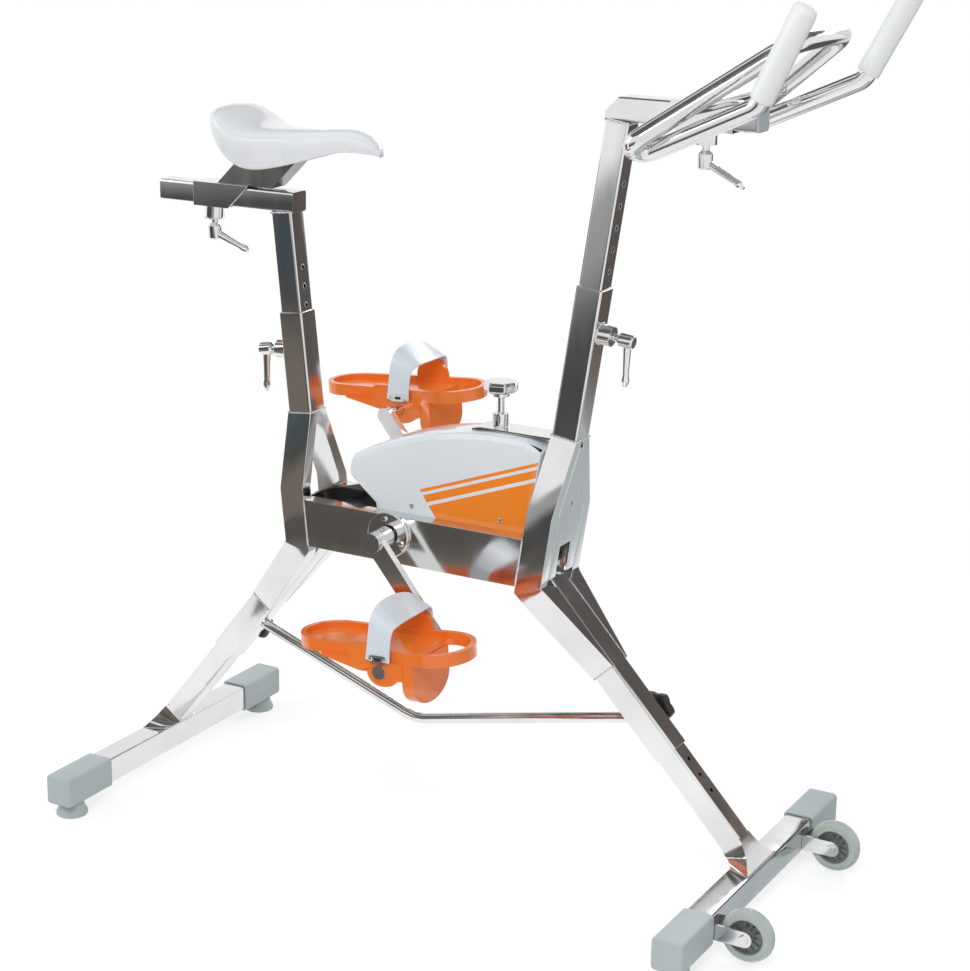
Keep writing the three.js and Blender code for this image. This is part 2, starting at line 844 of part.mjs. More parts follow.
// End cap: box with an open pocket over the crossbar's end
function endCap(crossX, side) {
  const pocket = crossbarSize + weldGap * 2;
  const outer = pocket + capWall * 2;
  const end = crossbarHalfLength + weldGap + capWall;
  const shape = new THREE.Shape(roundedSquare(outer - capCorner * 2, outer - capCorner * 2, capCorner));
  const body = new THREE.ExtrudeGeometry(shape, {
    depth: capLength - capCorner, bevelEnabled: true, bevelSegments: 2,
    bevelThickness: capCorner, bevelSize: capCorner,
  });
  const hollow = squareTube(pocket, pocket, 0, capLength + overrun).translate(0, 0, -capWall - overrun);
  const mouth = box(-outer, outer, -outer, outer, -capCorner - overrun, 0);
  const start = vec(crossX, side * (end - capLength), crossbarHeight);
  return aim(cut(body, hollow, mouth), start, vec(0, side, 0), upward);
}

// Foot: flared sucker under each cap
function footPad(crossX, side) {
  const top = crossbarHeight - crossbarSize / 2 - weldGap - capWall - weldGap;
  const profile = [
    [0, 0], [footRadius, 0], [footRadius, footLip], [footNeckRadius + footSkirt, top / 2],
    [footNeckRadius, top], [0, top],
  ];
  const y = side * (crossbarHalfLength + weldGap + capWall - footInset);
  return turned(profile).translate(crossX, y, 0);
}

// Wheels and forks
const forkOuter = wheelWidth / 2 + forkGap + forkPlateThickness;
const wheelSide = crossbarHalfLength + weldGap + capWall - capLength - forkCapGap - forkOuter;
const wheelX = frontLeg.crossX + crossbarSize / 2 + weldGap + forkPlateThickness + wheelGap + wheelRadius;
const wheelZ = wheelRadius + wheelFloorGap;

function wheel(side) {
  const half = wheelWidth / 2;
  const web = webThickness / 2;
  const shoulder = half * tyreShoulderShare;
  const crown = half * tyreCrownShare;
  const boss = hubBoreRadius + hubBossWall;
  const rim = hubRadius - hubRimThickness;
  const profile = [
    [hubBoreRadius, -half], [boss, -half], [boss, -web], [rim, -web], [hubRadius, -shoulder],
    [wheelRadius - tyreShoulder, -shoulder], [wheelRadius - tyreCrown, -crown], [wheelRadius, 0],
    [wheelRadius - tyreCrown, crown], [wheelRadius - tyreShoulder, shoulder], [hubRadius, shoulder],
    [rim, web], [boss, web], [boss, half], [hubBoreRadius, half], [hubBoreRadius, -half],
  ];
  const windows = [];
  const windowIn = boss + spokeWindowInset;
  const windowOut = rim - spokeWindowInset;
  for (let i = 0; i < spokeWindowCount; i += 1) {
    const reach = web + overrun;
    const slot = box(windowIn, windowOut, -spokeWindowWidth / 2, spokeWindowWidth / 2, -reach, reach);
    windows.push(slot.rotateZ(i / spokeWindowCount * Math.PI * 2));
  }
  return aim(cut(turned(profile, 24), ...windows), vec(wheelX, side * wheelSide, wheelZ), leftward, upward);
}

function fork(side) {
  const back = frontLeg.crossX + crossbarSize / 2 + weldGap;
  const inner = wheelWidth / 2 + forkGap;
  const half = forkHeight / 2;
  const shape = new THREE.Shape();
  shape.moveTo(back, wheelZ - half);
  shape.lineTo(wheelX, wheelZ - half);
  shape.absarc(wheelX, wheelZ, half, -Math.PI / 2, Math.PI / 2, false);
  shape.lineTo(back, wheelZ + half);
  const y = side * wheelSide;
  const sheet = [back, back + forkPlateThickness];
  const backPlate = box(...sheet, y - forkOuter, y + forkOuter, wheelZ - half, wheelZ + half);
  const cheeks = [slab(shape, y - forkOuter, y - inner), slab(shape, y + inner, y + forkOuter)];
  const axle = crossRod(hubBoreRadius - runningClearance, wheelX, wheelZ, y - forkOuter, y + forkOuter);
  const heads = [-1, 1].map((end) => {
    const head = rod(boltHeadRadius, boltHeadThickness + forkPlateThickness / 2, 6);
    const seat = y + end * (forkOuter - forkPlateThickness / 2);
    return aim(head, vec(wheelX, seat, wheelZ), vec(0, end, 0), upward);
  });
  return join(backPlate, ...cheeks, axle, ...heads);
}

// Stretcher: round tube from leg to leg with one bend
function stretcher() {
  const half = sleeveSize / 2 + weldGap;
  const rearSeat = on(rearLeg, rearLegSleeveEnd - rearStretcherBack, half);
  const frontSeat = on(frontLeg, frontLegSleeveEnd - frontStretcherBack, -half);
  const bend = vec(mastMiddleX - stretcherBendBack, 0, footHeight - stretcherDrop);
  const path = new BentPath([rearSeat, bend, frontSeat], [stretcherBendRadius]);
  const run = path.samples;
  const beyond = (a, b) => a.clone().add(a.clone().sub(b).normalize().multiplyScalar(sleeveSize));
  run[0] = beyond(run[0], run[1]);
  run[run.length - 1] = beyond(run[run.length - 1], run[run.length - 2]);
  const legSide = (seat, leg, sign) => {
    const block = box(-crossbarSpacing, crossbarSpacing, -sleeveSize, sleeveSize, 0, crossbarSpacing);
    return aim(block, seat, leg.out.clone().multiplyScalar(sign));
  };
  const tube = bentRod(path, stretcherRadius, 16);
  return cut(tube, legSide(rearSeat, rearLeg, -1), legSide(frontSeat, frontLeg, 1));
}

// Clamp lever: hub on a stud, slim tapered arm with a rounded tip
function clampLever(seat, axis, armDirection) {
  const hubTop = clampStudLength + clampHubLength;
  const hub = aim(turned([
    [0, 0], [clampStudRadius, 0], [clampStudRadius, clampStudLength],
    [clampHubRadius, clampStudLength + clampHubRadius / 2], [clampHubRadius, hubTop - clampHubChamfer],
    [clampHubRadius - clampHubChamfer, hubTop], [0, hubTop],
  ], 14), seat, axis);
  const rise = clampStudLength + clampHubLength * clampArmSeatShare;
  const root = seat.clone().addScaledVector(axis.clone().normalize(), rise);
  const knob = clampArmKnobRadius;
  const arm = turned([
    [0, 0], [clampArmRootRadius, 0], [clampArmTipRadius, clampArmLength - knob * 3],
    [knob, clampArmLength - knob * 2], [knob, clampArmLength - knob], [knob / 2, clampArmLength],
    [0, clampArmLength],
  ], 10);
  return join(hub, aim(arm, root, armDirection));
}

function mastLever(mast, clampUp, side) {
  const outward = mast.out.clone().multiplyScalar(side);
  const seat = on(mast, clampUp, side * (sleeveSize / 2 + clampBossLength + weldGap));
  const hang = mast.along.clone().multiplyScalar(-1).addScaledVector(outward, hangLeanShare);
  return clampLever(seat, outward, hang);
}

// Lever under a slider, its arm pointing forward and down
function sliderLever(x, sliderLow, slopeShare) {
  const seat = vec(x, 0, sliderLow - clampBossLength - weldGap);
  return clampLever(seat, vec(0, 0, -1), vec(1, 0, -slopeShare));
}

// Lobed knob about +Z, swollen at mid height
const knobRingShares = [[0.9, 0], [1, 0.2], [1, 0.75], [0.86, 1]];

function lobedKnob(radius, thickness, lobeCount, lobeShare) {
  const count = lobeCount * 4;
  return loft(knobRingShares.map(([size, height]) => {
    const ring = [];
    for (let i = 0; i < count; i += 1) {
      const angle = i / count * Math.PI * 2;
      const r = radius * size * (1 + lobeShare * Math.cos(angle * lobeCount));
      ring.push(vec(r * Math.cos(angle), r * Math.sin(angle), thickness * height));
    }
    return ring;
  }));
}

// Star knob: its bolt passes through the sleeve's left face
function starKnob(leg, down) {
  const boltLength = sleeveWall + weldGap * 2;
  const bolt = rod(starBoltRadius - runningClearance, boltLength + partSink, 12).translate(0, 0, -boltLength);
  const head = lobedKnob(starKnobRadius, starKnobThickness, starLobeCount, starLobeShare);
  const stem = rod(starStemRadius, starStemLength + partSink, 12);
  const seat = on(leg, down, 0, sleeveSize / 2 + weldGap);
  return aim(join(stem, bolt, head.translate(0, 0, starStemLength)), seat, leftward, upward);
}

// Seat post with the level seat tube welded on top
const seatTubeLow = on(rearMast, rearPostTop).z;
const seatPostX = on(rearMast, rearPostTop).x;
const seatTubeTop = seatTubeLow + seatTubeHeight;
const saddleSliderRear = seatPostX - saddleSliderBack;
const saddleSliderLow = seatTubeLow - slideClearance - saddleSliderWall;
const saddleSliderHigh = seatTubeTop + slideClearance + saddleSliderWall;

function seatPost() {
  const bottom = rearSleeveHigh - rearPostInserted;
  const post = tubeOn(rearMast, postSize, postWall, bottom, rearPostTop + postWall);
  const firstHole = rearSleeveHigh + rearHoleStart;
  const holes = pinHoles(rearMast, postSize, firstHole, rearHolePitch, rearHoleCount, 1);
  const start = vec(seatPostX + seatTubeAhead - seatTubeLength, 0, (seatTubeLow + seatTubeTop) / 2);
  const bar = aim(squareTube(seatTubeHeight, postSize, 0, seatTubeLength), start, forward);
  return cut(join(post, bar), ...holes);
}

// A slider's clamp boss and stud hole, hanging under it
function hangingBoss(x, low, wall) {
  const boss = rod(clampBossRadius, clampBossLength + wall / 2).rotateX(Math.PI);
  return boss.translate(x, 0, low + wall / 2);
}

function hangingStudHole(x, low, wall) {
  const bottom = low - clampBossLength - overrun;
  return rod(clampStudRadius + runningClearance, low + wall + overrun - bottom).translate(x, 0, bottom);
}

function saddleSlider() {
  const half = postSize / 2 + slideClearance;
  const outer = half + saddleSliderWall;
  const frontTop = saddleSliderRear + saddleSliderTopLength;
  const slant = saddleSliderHigh - saddleSliderLow;
  const body = slab([
    [saddleSliderRear, saddleSliderLow], [frontTop - slant, saddleSliderLow], [frontTop, saddleSliderHigh],
    [saddleSliderRear, saddleSliderHigh],
  ], -outer, outer);
  const hollow = box(saddleSliderRear - overrun, frontTop + overrun, -half, half,
    seatTubeLow - slideClearance, seatTubeTop + slideClearance);
  const clampX = saddleSliderRear + saddleClampIn;
  const boss = hangingBoss(clampX, saddleSliderLow, saddleSliderWall);
  return cut(join(body, boss), hollow, hangingStudHole(clampX, saddleSliderLow, saddleSliderWall));
}

// Bracket: leaning open channel on the slider, with the saddle's rails across its top
const bracketLow = saddleSliderHigh + weldGap;
const bracketHigh = bracketLow + bracketRise;

function saddleBracket() {
  const half = bracketWidth / 2;
  const wall = saddleSliderWall;
  const rear = saddleSliderRear + bracketIn;
  const front = rear + bracketLength;
  const leaning = (x, z) => [x + bracketShift * (z - bracketLow) / bracketRise, z];
  const body = slab([
    leaning(rear, bracketLow), leaning(front, bracketLow),
    leaning(front, bracketHigh), leaning(rear, bracketHigh),
  ], -half, half);
  const low = bracketLow + wall;
  const high = bracketHigh + overrun;
  const hollow = slab([
    leaning(rear - overrun, low), leaning(front - wall * 2, low), leaning(front - wall * 2, high),
    leaning(rear - overrun, high),
  ], -half + wall, half - wall);
  return join(cut(body, hollow), saddleRails(rear + bracketShift, front + bracketShift));
}

// Saddle: sections from tail to nose, each a crowned top with drawn-in skirts
const saddleRear = saddleSliderRear + saddleIn;
const saddleHeight = bracketHigh + saddleStack;

// Height of a bell at a place, its middle and width given as a pair
function bellShare(t, [middle, width]) {
  return Math.exp(-(((t - middle) / width) ** 2));
}

function roundShare(t) {
  return Math.sqrt(Math.max(0, 1 - Math.min(t, 1) ** 2));
}

// Half width, top height and skirt depth at a share of the saddle's length
function saddleShape(t) {
  const noseLengthShare = 1 - noseStartShare;
  const intoNose = Math.max(0, t - noseStartShare) / noseLengthShare;
  const tail = roundShare(Math.max(0, tailEndShare - t) / (tailEndShare * endRoundShare));
  const nose = roundShare(intoNose / endRoundShare);
  const swell = (saddleHalfWidth - saddleNoseHalfWidth) * bellShare(t, wideShares);
  const wide = (saddleNoseHalfWidth + swell) * Math.min(tail, nose ** noseBluntShare);
  const lift = saddleTailLift * bellShare(t, tailLiftShares) + saddleNoseLift * bellShare(t, noseLiftShares);
  const fall = saddleNoseDrop * (1 - roundShare(intoNose));
  const body = skirtLeastShare + (1 - skirtLeastShare) * bellShare(t, skirtShares);
  const end = Math.min(tail, nose);
  const skirt = saddleSkirt * body * (skirtEndShare + (1 - skirtEndShare) * end);
  const half = Math.max(wide, saddleEndHalfWidth);
  return { half, top: saddleHeight + lift - fall, crown: saddleCrown * end, skirt };
}

function saddleUnderside(t) {
  const { top, crown, skirt } = saddleShape(t);
  return top - crown - skirt * undersideShare;
}

function saddle() {
  const rings = [];
  for (let i = 0; i <= saddleStations; i += 1) {
    const t = (1 - Math.cos(i / saddleStations * Math.PI)) / 2;
    const { half, top, crown, skirt } = saddleShape(t);
    const x = saddleRear + saddleLength * t;
    const leftHalf = saddleSectionShares.map(([across, rise, drop]) => (
      vec(x, across * half, top - crown * (1 - rise) - skirt * drop)
    ));
    const rightHalf = leftHalf.slice(1, -1).reverse().map((point) => vec(x, -point.y, point.z));
    rings.push([...leftHalf, ...rightHalf]);
  }
  return loft(rings);
}

// Saddle rails: two bent rods under the shell and the bridge that clamps them to the bracket
function saddleRails(rear, front) {
  const seatHigh = bracketHigh - weldGap;
  const lie = seatHigh + railRadius;
  const rails = [-1, 1].map((side) => {
    const y = side * railSpacing / 2;
    const end = (share, spread) => vec(saddleRear + saddleLength * share, y * spread,
      saddleUnderside(share) - railRadius * railRiseShare - weldGap);
    const bend = (front - rear) * railBendShare;
    const corners = [
      end(railRearShare, railSpreadShare), vec(rear, y, lie),
      vec(front, y, lie), end(railFrontShare, railNoseShare),
    ];
    return bentRod(new BentPath(corners, [bend, bend]), railRadius, 10);
  });
  const middle = (rear + front) / 2;
  const reach = railBridgeLength / 2;
  const half = railSpacing / 2 + railRadius;
  const bridge = box(middle - reach, middle + reach, -half, half, seatHigh, lie + railRadius);
  return join(bridge, ...rails);
}

// Handlebar post with the level carrier tube on top, its rear corner chamfered
const carrierLow = on(frontMast, frontPostTop).z;
const carrierHigh = carrierLow + carrierHeight;
const carrierFront = on(frontMast, frontPostTop).x + carrierAhead;
const barSliderRear = carrierFront - barSliderBack;
const barSliderLow = carrierLow - slideClearance - barSliderWall;

function barPost() {
  const bottom = frontSleeveHigh - frontPostInserted;
  const middle = (carrierLow + carrierHigh) / 2;
  const post = tubeOn(frontMast, postSize, postWall, bottom, frontPostTop + postWall);
  const firstHole = frontSleeveHigh + frontHoleStart;
  const holes = pinHoles(frontMast, postSize, firstHole, frontHolePitch, frontHoleCount, 1);
  const back = mastX(frontMast, carrierLow, -postSize / 2);
  const bar = aim(squareTube(carrierHeight, postSize, 0, carrierFront - back), vec(back, 0, middle), forward);
  const bore = squareTube(carrierHeight - postWall * 2, postSize - postWall * 2, 0, carrierFront - back);
  const hollow = aim(bore, vec(back + postSize * 2, 0, middle), forward);
  const corner = slab([
    [back - overrun, carrierHigh - carrierChamfer - overrun],
    [back + carrierChamfer + overrun, carrierHigh + overrun], [back - overrun, carrierHigh + overrun],
  ], -postSize, postSize);
  return cut(join(post, bar), hollow, corner, ...holes);
}

function carrierPlug() {
  const slack = postWall * 2 + weldGap * 2;
  const z = (carrierLow + carrierHigh) / 2;
  const face = squareTube(carrierHeight, postSize, 0, plugThickness);
  const plug = squareTube(carrierHeight - slack, postSize - slack, 0, plugDepth + plugThickness);
  const seated = aim(plug, vec(carrierFront - plugDepth, 0, z), forward);
  return join(aim(face, vec(carrierFront + weldGap, 0, z), forward), seated);
}

// Handlebar: one bent tube, grip to hairpin to the front arch and back
function barPlace(ahead, y, rise) {
  return vec(barSliderRear + ahead, y, carrierLow + rise);
}

function barCorners(side) {
  const base = barPlace(gripBaseAhead, side * gripBaseHalfWidth, gripBaseRise);
  const tip = barPlace(gripTipAhead, side * gripTipHalfWidth, gripTipRise);
  const low = barPlace(hairpinAhead, side * hairpinHalfWidth, -hairpinDrop);
  const high = barPlace(hairpinAhead, side * armHalfWidth, armRise - hairpinDrop);
  const corner = barPlace(archCornerAhead, side * archCornerHalfWidth, archCornerRise);
  const bend = low.distanceTo(high) / 2;
  const lowEnd = low.clone().addScaledVector(low.clone().sub(base).normalize(), bend);
  const highEnd = high.clone().addScaledVector(high.clone().sub(corner).normalize(), bend);
  return { tip, base, lowEnd, highEnd, corner, bend, high };
}

// A point on the centre line of an upper arm at an X
function armPoint(side, x) {
  const { high, corner } = barCorners(side);
  return high.clone().lerp(corner, (x - high.x) / (corner.x - high.x));
}

// Room of an upper arm, cut out of what is welded to it
function armSeat(side) {
  const { high, corner } = barCorners(side);
  return aim(rod(barTubeRadius + weldGap, high.distanceTo(corner)), high, corner.clone().sub(high));
}

function handlebar() {
  const left = barCorners(1);
  const right = barCorners(-1);
  const crown = barPlace(archFrontAhead, 0, archFrontRise);
  const corners = [
    left.tip, left.base, left.lowEnd, left.highEnd, left.corner, crown,
    right.corner, right.highEnd, right.lowEnd, right.base, right.tip,
  ];
  const radii = [gripBendRadius, left.bend, left.bend, archRadius, archCrownRadius, archRadius,
    right.bend, right.bend, gripBendRadius];
  return bentRod(new BentPath(corners, radii), barTubeRadius, barTubeSides);
}

// Slider on the carrier with a boss below and a wedge up to the cross tube between the arms
function barSlider() {
  const half = postSize / 2 + slideClearance;
  const outer = half + barSliderWall;
  const high = carrierHigh + slideClearance + barSliderWall;
  const front = barSliderRear + barSliderLength;
  const body = box(barSliderRear, front, -outer, outer, barSliderLow, high);
  const hollow = box(barSliderRear - overrun, front + overrun, -half, half,
    carrierLow - slideClearance, carrierHigh + slideClearance);
  const crossX = barSliderRear + crossTubeIn;
  const arm = armPoint(1, crossX);
  const wedge = slab([
    [barSliderRear + wedgeIn, high - barSliderWall / 2], [front, high - barSliderWall / 2],
    [crossX + crossTubeRadius, arm.z], [crossX - crossTubeRadius, arm.z + crossTubeRadius / 2],
  ], -wedgeWidth / 2, wedgeWidth / 2);
  const cross = crossRod(crossTubeRadius, crossX, arm.z, -arm.y, arm.y, 16);
  const clampX = barSliderRear + barClampIn;
  const boss = hangingBoss(clampX, barSliderLow, barSliderWall);
  const studHole = hangingStudHole(clampX, barSliderLow, barSliderWall);
  return cut(join(body, boss, wedge, cross), hollow, studHole, armSeat(1), armSeat(-1));
}

// Grip: a closed sleeve over the bar's end, down to the bend
function grip(side) {
  const { tip, base, lowEnd } = barCorners(side);
  const up = tip.clone().sub(base).normalize();
  const turn = base.clone().sub(lowEnd).angleTo(up);
  const bottom = base.clone().addScaledVector(up, gripBendRadius * Math.tan(turn / 2) + weldGap);
  const length = bottom.distanceTo(tip) + weldGap + gripEndWall;
  const bore = barTubeRadius + weldGap;
  const skin = turned([
    [bore, 0], [gripRadius - gripEdge, 0], [gripRadius, gripEdge], [gripRadius, length - gripRound],
    [gripRadius - gripRound * gripRoundShare, length - gripRound * gripRoundShare],
    [gripRadius - gripRound, length],
    [0, length], [0, length - gripEndWall], [bore, length - gripEndWall], [bore, 0],
  ], 16);
  return aim(skin, bottom, up);
}

// Crank: bearing flanges, axle, arms with their pedal spindles
const crankX = mastMiddleX - crankBack;
const crankZ = beamLow + crankRise;
const hubInner = frameHalfWidth + flangeThickness + flangeBoltHeight + crankHubGap;
const armInner = hubInner + armOffset;
const armOuter = armInner + armThickness;
const axleEnd = hubInner + axleSeat;
const pedalInner = armOuter + spindleShoulder;
const pedalMiddle = pedalInner + pedalWidth / 2;

function flange(side) {
  const bore = axleRadius + runningClearance;
  const body = turned([
    [bore, -beamThickness], [flangeSpigotRadius, -beamThickness], [flangeSpigotRadius, weldGap],
    [flangeRadius, weldGap], [flangeRadius, flangeThickness - flangeEdge],
    [flangeRadius - flangeEdge, flangeThickness], [bore, flangeThickness], [bore, -beamThickness],
  ], 24);
  const bolts = [];
  for (let i = 0; i < flangeBoltCount; i += 1) {
    const angle = rad(flangeBoltDegreesShare) + i / flangeBoltCount * Math.PI * 2;
    const bolt = rod(flangeBoltRadius, flangeBoltHeight + partSink, 6).translate(flangeBoltRing, 0, 0);
    bolts.push(bolt.rotateZ(angle).translate(0, 0, flangeThickness - partSink));
  }
  return aim(join(body, ...bolts), vec(crankX, side * frameHalfWidth, crankZ), vec(0, side, 0), upward);
}

function crankEnd(side) {
  const angle = rad(crankDegreesShare) + (side > 0 ? Math.PI : 0);
  return vec(crankX + crankLength * Math.cos(angle), 0, crankZ + crankLength * Math.sin(angle));
}

function crankArm(side) {
  const end = crankEnd(side);
  const outward = vec(0, side, 0);
  const hub = aim(rod(crankHubRadius, crankHubLength), vec(crankX, side * hubInner, crankZ), outward, upward);
  const boreLength = axleSeat + weldGap + overrun;
  const boreStart = vec(crankX, side * (hubInner - overrun), crankZ);
  const bore = aim(rod(axleRadius + weldGap, boreLength), boreStart, outward, upward);
  const direction = Math.atan2(end.z - crankZ, end.x - crankX);
  const arm = new THREE.Shape();
  const quarter = Math.PI / 2;
  arm.absarc(crankX, crankZ, crankHubRadius - armEdge, direction + quarter, direction + quarter * 3, false);
  arm.absarc(end.x, end.z, armEndRadius, direction - quarter, direction + quarter, false);
  const [y0, y1] = side > 0 ? [armInner, armOuter] : [-armOuter, -armInner];
  const pinLength = spindleShoulder + pedalWidth + runningClearance + armThickness / 2;
  const pin = turned([
    [0, 0], [spindleRadius, 0], [spindleRadius, pinLength], [spindleHeadRadius, pinLength],
    [spindleHeadRadius, pinLength + spindleHeadThickness], [0, pinLength + spindleHeadThickness],
  ], 14);
  const seated = aim(pin, vec(end.x, side * (armInner + armThickness / 2), end.z), outward, upward);
  return cut(join(hub, slab(arm, y0, y1), seated), bore);
}

// Pedal, made with its spindle axis through the origin along Y, width centred on Y = 0
const pedalHalf = pedalWidth / 2;
const pedalRimLow = pedalRimTop - pedalRimHeight;
const paddleFront = paddleBack + paddleThickness;

function solePath(inset) {
  const heelHalf = pedalHalf * pedalHeelWidthShare;
  const heelRadius = pedalHeelBack * pedalHeelRoundShare;
  const toeRadius = pedalToeForward * pedalToeRoundShare;
  const toeX = pedalToeForward - toeRadius;
  const heelX = -pedalHeelBack + heelRadius;
  const quarter = Math.PI / 2;
  const path = new THREE.Shape();
  path.moveTo(toeX, -pedalHalf + inset);
  path.absellipse(toeX, 0, toeRadius - inset, pedalHalf - inset, -quarter, quarter, false, 0);
  path.lineTo(heelX, heelHalf - inset);
  path.absellipse(heelX, 0, heelRadius - inset, heelHalf - inset, quarter, quarter * 3, false, 0);
  return path;
}

// Opening of the toe ring, between the walls and ahead of the paddle
function toeHole() {
  const half = pedalHalf - pedalWall;
  const back = paddleFront - toeHoleOverlap;
  const cornerX = back + toeHoleCorner;
  const cornerY = half - toeHoleCorner;
  const path = new THREE.Shape();
  path.moveTo(pedalToeForward, -half);
  path.lineTo(pedalToeForward, half);
  path.lineTo(cornerX, half);
  path.quadraticCurveTo(back, half, back, cornerY);
  path.lineTo(back, -cornerY);
  path.quadraticCurveTo(back, -half, cornerX, -half);
  const heights = [pedalRimLow - overrun, pedalRimTop + overrun];
  return trim(plate(path, ...heights), plate(solePath(pedalWall), ...heights));
}

// Side web under the sole: from the heel down to the round boss and up to the paddle
function pedalWeb() {
  const shape = new THREE.Shape();
  const boss = pedalLobeRadius;
  shape.moveTo(-pedalWebBack, pedalRimLow + partSink);
  shape.lineTo(-pedalWebKnee, -pedalWebLow);
  shape.lineTo(-boss, -pedalWebLow);
  shape.absarc(0, 0, boss, Math.PI, Math.PI * 3 / 2, false);
  shape.quadraticCurveTo(boss, -boss, pedalNotch, -pedalNotchDrop);
  shape.lineTo(paddleBack + partSink, -pedalNotchDrop);
  shape.lineTo(paddleBack + partSink, pedalRimLow + partSink);
  return slab(shape, -pedalHalf, pedalHalf);
}

function pedalPaddle() {
  const shape = new THREE.Shape();
  const left = pedalHalf - paddleLeftInset;
  const right = pedalHalf - paddleRightInset;
  const flat = pedalRimLow - paddleFlat;
  const round = [(left + right) / 2, paddleDepth - paddleFlat];
  shape.moveTo(-right, pedalRimLow + partSink);
  shape.lineTo(-right, flat);
  shape.absellipse((left - right) / 2, flat, ...round, Math.PI, Math.PI * 2, false, 0);
  shape.lineTo(left, pedalRimLow + partSink);
  return wallAcross(shape, paddleBack, paddleFront);
}

function pedalLug() {
  const top = pedalRimTop + lugRise;
  return slab([
    [-lugBack, pedalRimLow + partSink], [lugForward, pedalRimLow + partSink], [lugForward, pedalRimTop],
    [lugForward - lugChamfer, top], [-lugBack + lugChamfer, top], [-lugBack, pedalRimTop],
  ], -pedalHalf, -pedalHalf + pedalWall);
}

function pedalCheek() {
  const shape = new THREE.Shape();
  shape.moveTo(-cheekBack, pedalRimLow + partSink);
  shape.lineTo(cheekForward, pedalRimLow + partSink);
  const middle = (cheekForward - cheekBack) / 2;
  shape.absellipse(middle, pedalRimTop, cheekForward - middle, cheekRise, 0, Math.PI, false, 0);
  return slab(shape, pedalHalf - pedalWall, pedalHalf);
}

function pedalBody() {
  const tray = plate(solePath(0), pedalRimLow, pedalRimTop);
  const well = plate(solePath(pedalWall), pedalRimTop - pedalWellDepth, pedalRimTop + overrun);
  const boreLength = pedalHalf + overrun;
  const bore = crossRod(spindleRadius + runningClearance, 0, 0, -boreLength, boreLength, 14);
  const sole = cut(tray, well, toeHole());
  return cut(join(sole, pedalWeb(), pedalPaddle(), pedalLug(), pedalCheek()), bore);
}

// Strap: a moulded band from the sole's right side over the instep to the cheek.
// Each row is across, back edge and its height, front edge and its height.
const strapShares = [
  [-1, -0.78, 0.18, 0.63, 0.15], [-1, -0.59, 0.48, 0.74, 0.43], [-0.98, -0.41, 0.77, 0.93, 0.65],
  [-0.82, -0.3, 0.95, 1, 0.69], [-0.36, -0.3, 1, 0.96, 0.7], [0.18, -0.22, 0.99, 0.89, 0.69],
  [0.67, -0.15, 0.9, 0.81, 0.68], [0.92, -0.22, 0.79, 0.78, 0.66], [1, -0.33, 0.68, 0.75, 0.56],
  [1, -0.44, 0.4, 0.67, 0.37],
];

function strapBody() {
  const half = pedalHalf + weldGap;
  const edge = (back) => new THREE.CatmullRomCurve3(strapShares.map(([across, x0, z0, x1, z1]) => (
    vec((back ? x0 : x1) * strapReach, across * half, (back ? z0 : z1) * strapPeak)
  )), false, 'centripetal');
  const backEdge = edge(true);
  const frontEdge = edge(false);
  const rings = [];
  for (let i = 0; i <= strapSteps; i += 1) {
    const u = i / strapSteps;
    const back = backEdge.getPoint(u);
    const front = frontEdge.getPoint(u);
    const along = backEdge.getTangent(u);
    const outward = front.clone().sub(back).cross(along).normalize();
    const lift = outward.multiplyScalar(strapThickness);
    rings.push([back, front, front.clone().add(lift), back.clone().add(lift)]);
  }
  return loft(rings);
}

// Both pedals are the same moulding, not mirrored
function ontoCrank(geometry, side) {
  const end = crankEnd(side);
  return geometry.rotateY(-rad(pedalTiltDegreesShare)).translate(end.x, side * pedalMiddle, end.z);
}

// Hood: two open shells that meet on the middle plane
const hoodHalfWidth = beamInner - weldGap;
const hoodTop = beamHigh + hoodRise;
const hoodTailX = rearMast.foot.x + hoodTailAhead;
const hoodHeel = { x: hoodTailX + hoodHeelAhead, z: beamHigh + hoodHeelRise };
const hoodChin = { x: hoodTailX + hoodChinAhead, z: beamHigh + hoodChinRise };
const hoodToeX = crankX - pulleyRadius - hoodToeRoom;
const hoodCrestX = frontMast.foot.x - hoodCrestBack;

function archZ(x, inset = 0) {
  return hoodTop - hoodArchRadius + Math.sqrt((hoodArchRadius - inset) ** 2 - (x - hoodCrestX) ** 2);
}

function hoodFrontX(z, inset = 0) {
  return mastX(frontMast, z, -sleeveSize / 2) - hoodFrontGap - inset;
}

function hoodOutline(inset) {
  const shape = new THREE.Shape();
  const centreZ = hoodTop - hoodArchRadius;
  const shoulderX = frontMast.foot.x - hoodShoulderBack;
  const shoulderZ = archZ(shoulderX, inset);
  const frontHigh = shoulderZ - hoodShoulderDrop;
  const tailRoundX = hoodTailX + hoodTailRound;
  const front = Math.atan2(shoulderZ - centreZ, shoulderX - hoodCrestX);
  const tail = Math.atan2(archZ(tailRoundX, inset) - centreZ, tailRoundX - hoodCrestX);
  shape.moveTo(hoodFrontX(beamLow, inset), beamLow);
  shape.lineTo(hoodFrontX(frontHigh, inset), frontHigh);
  const knee = (hoodFrontX(frontHigh, inset) + shoulderX) / 2;
  shape.quadraticCurveTo(knee, shoulderZ, shoulderX, shoulderZ);
  shape.absarc(hoodCrestX, centreZ, hoodArchRadius - inset, front, tail, false);
  const back = hoodTailX + inset;
  shape.quadraticCurveTo(back, archZ(hoodTailX, inset), back, beamHigh + hoodTailRise);
  shape.lineTo(hoodChin.x + inset, hoodChin.z + inset);
  shape.lineTo(hoodHeel.x + inset, hoodHeel.z + inset);
  shape.lineTo(hoodToeX + inset, beamLow);
  return shape;
}

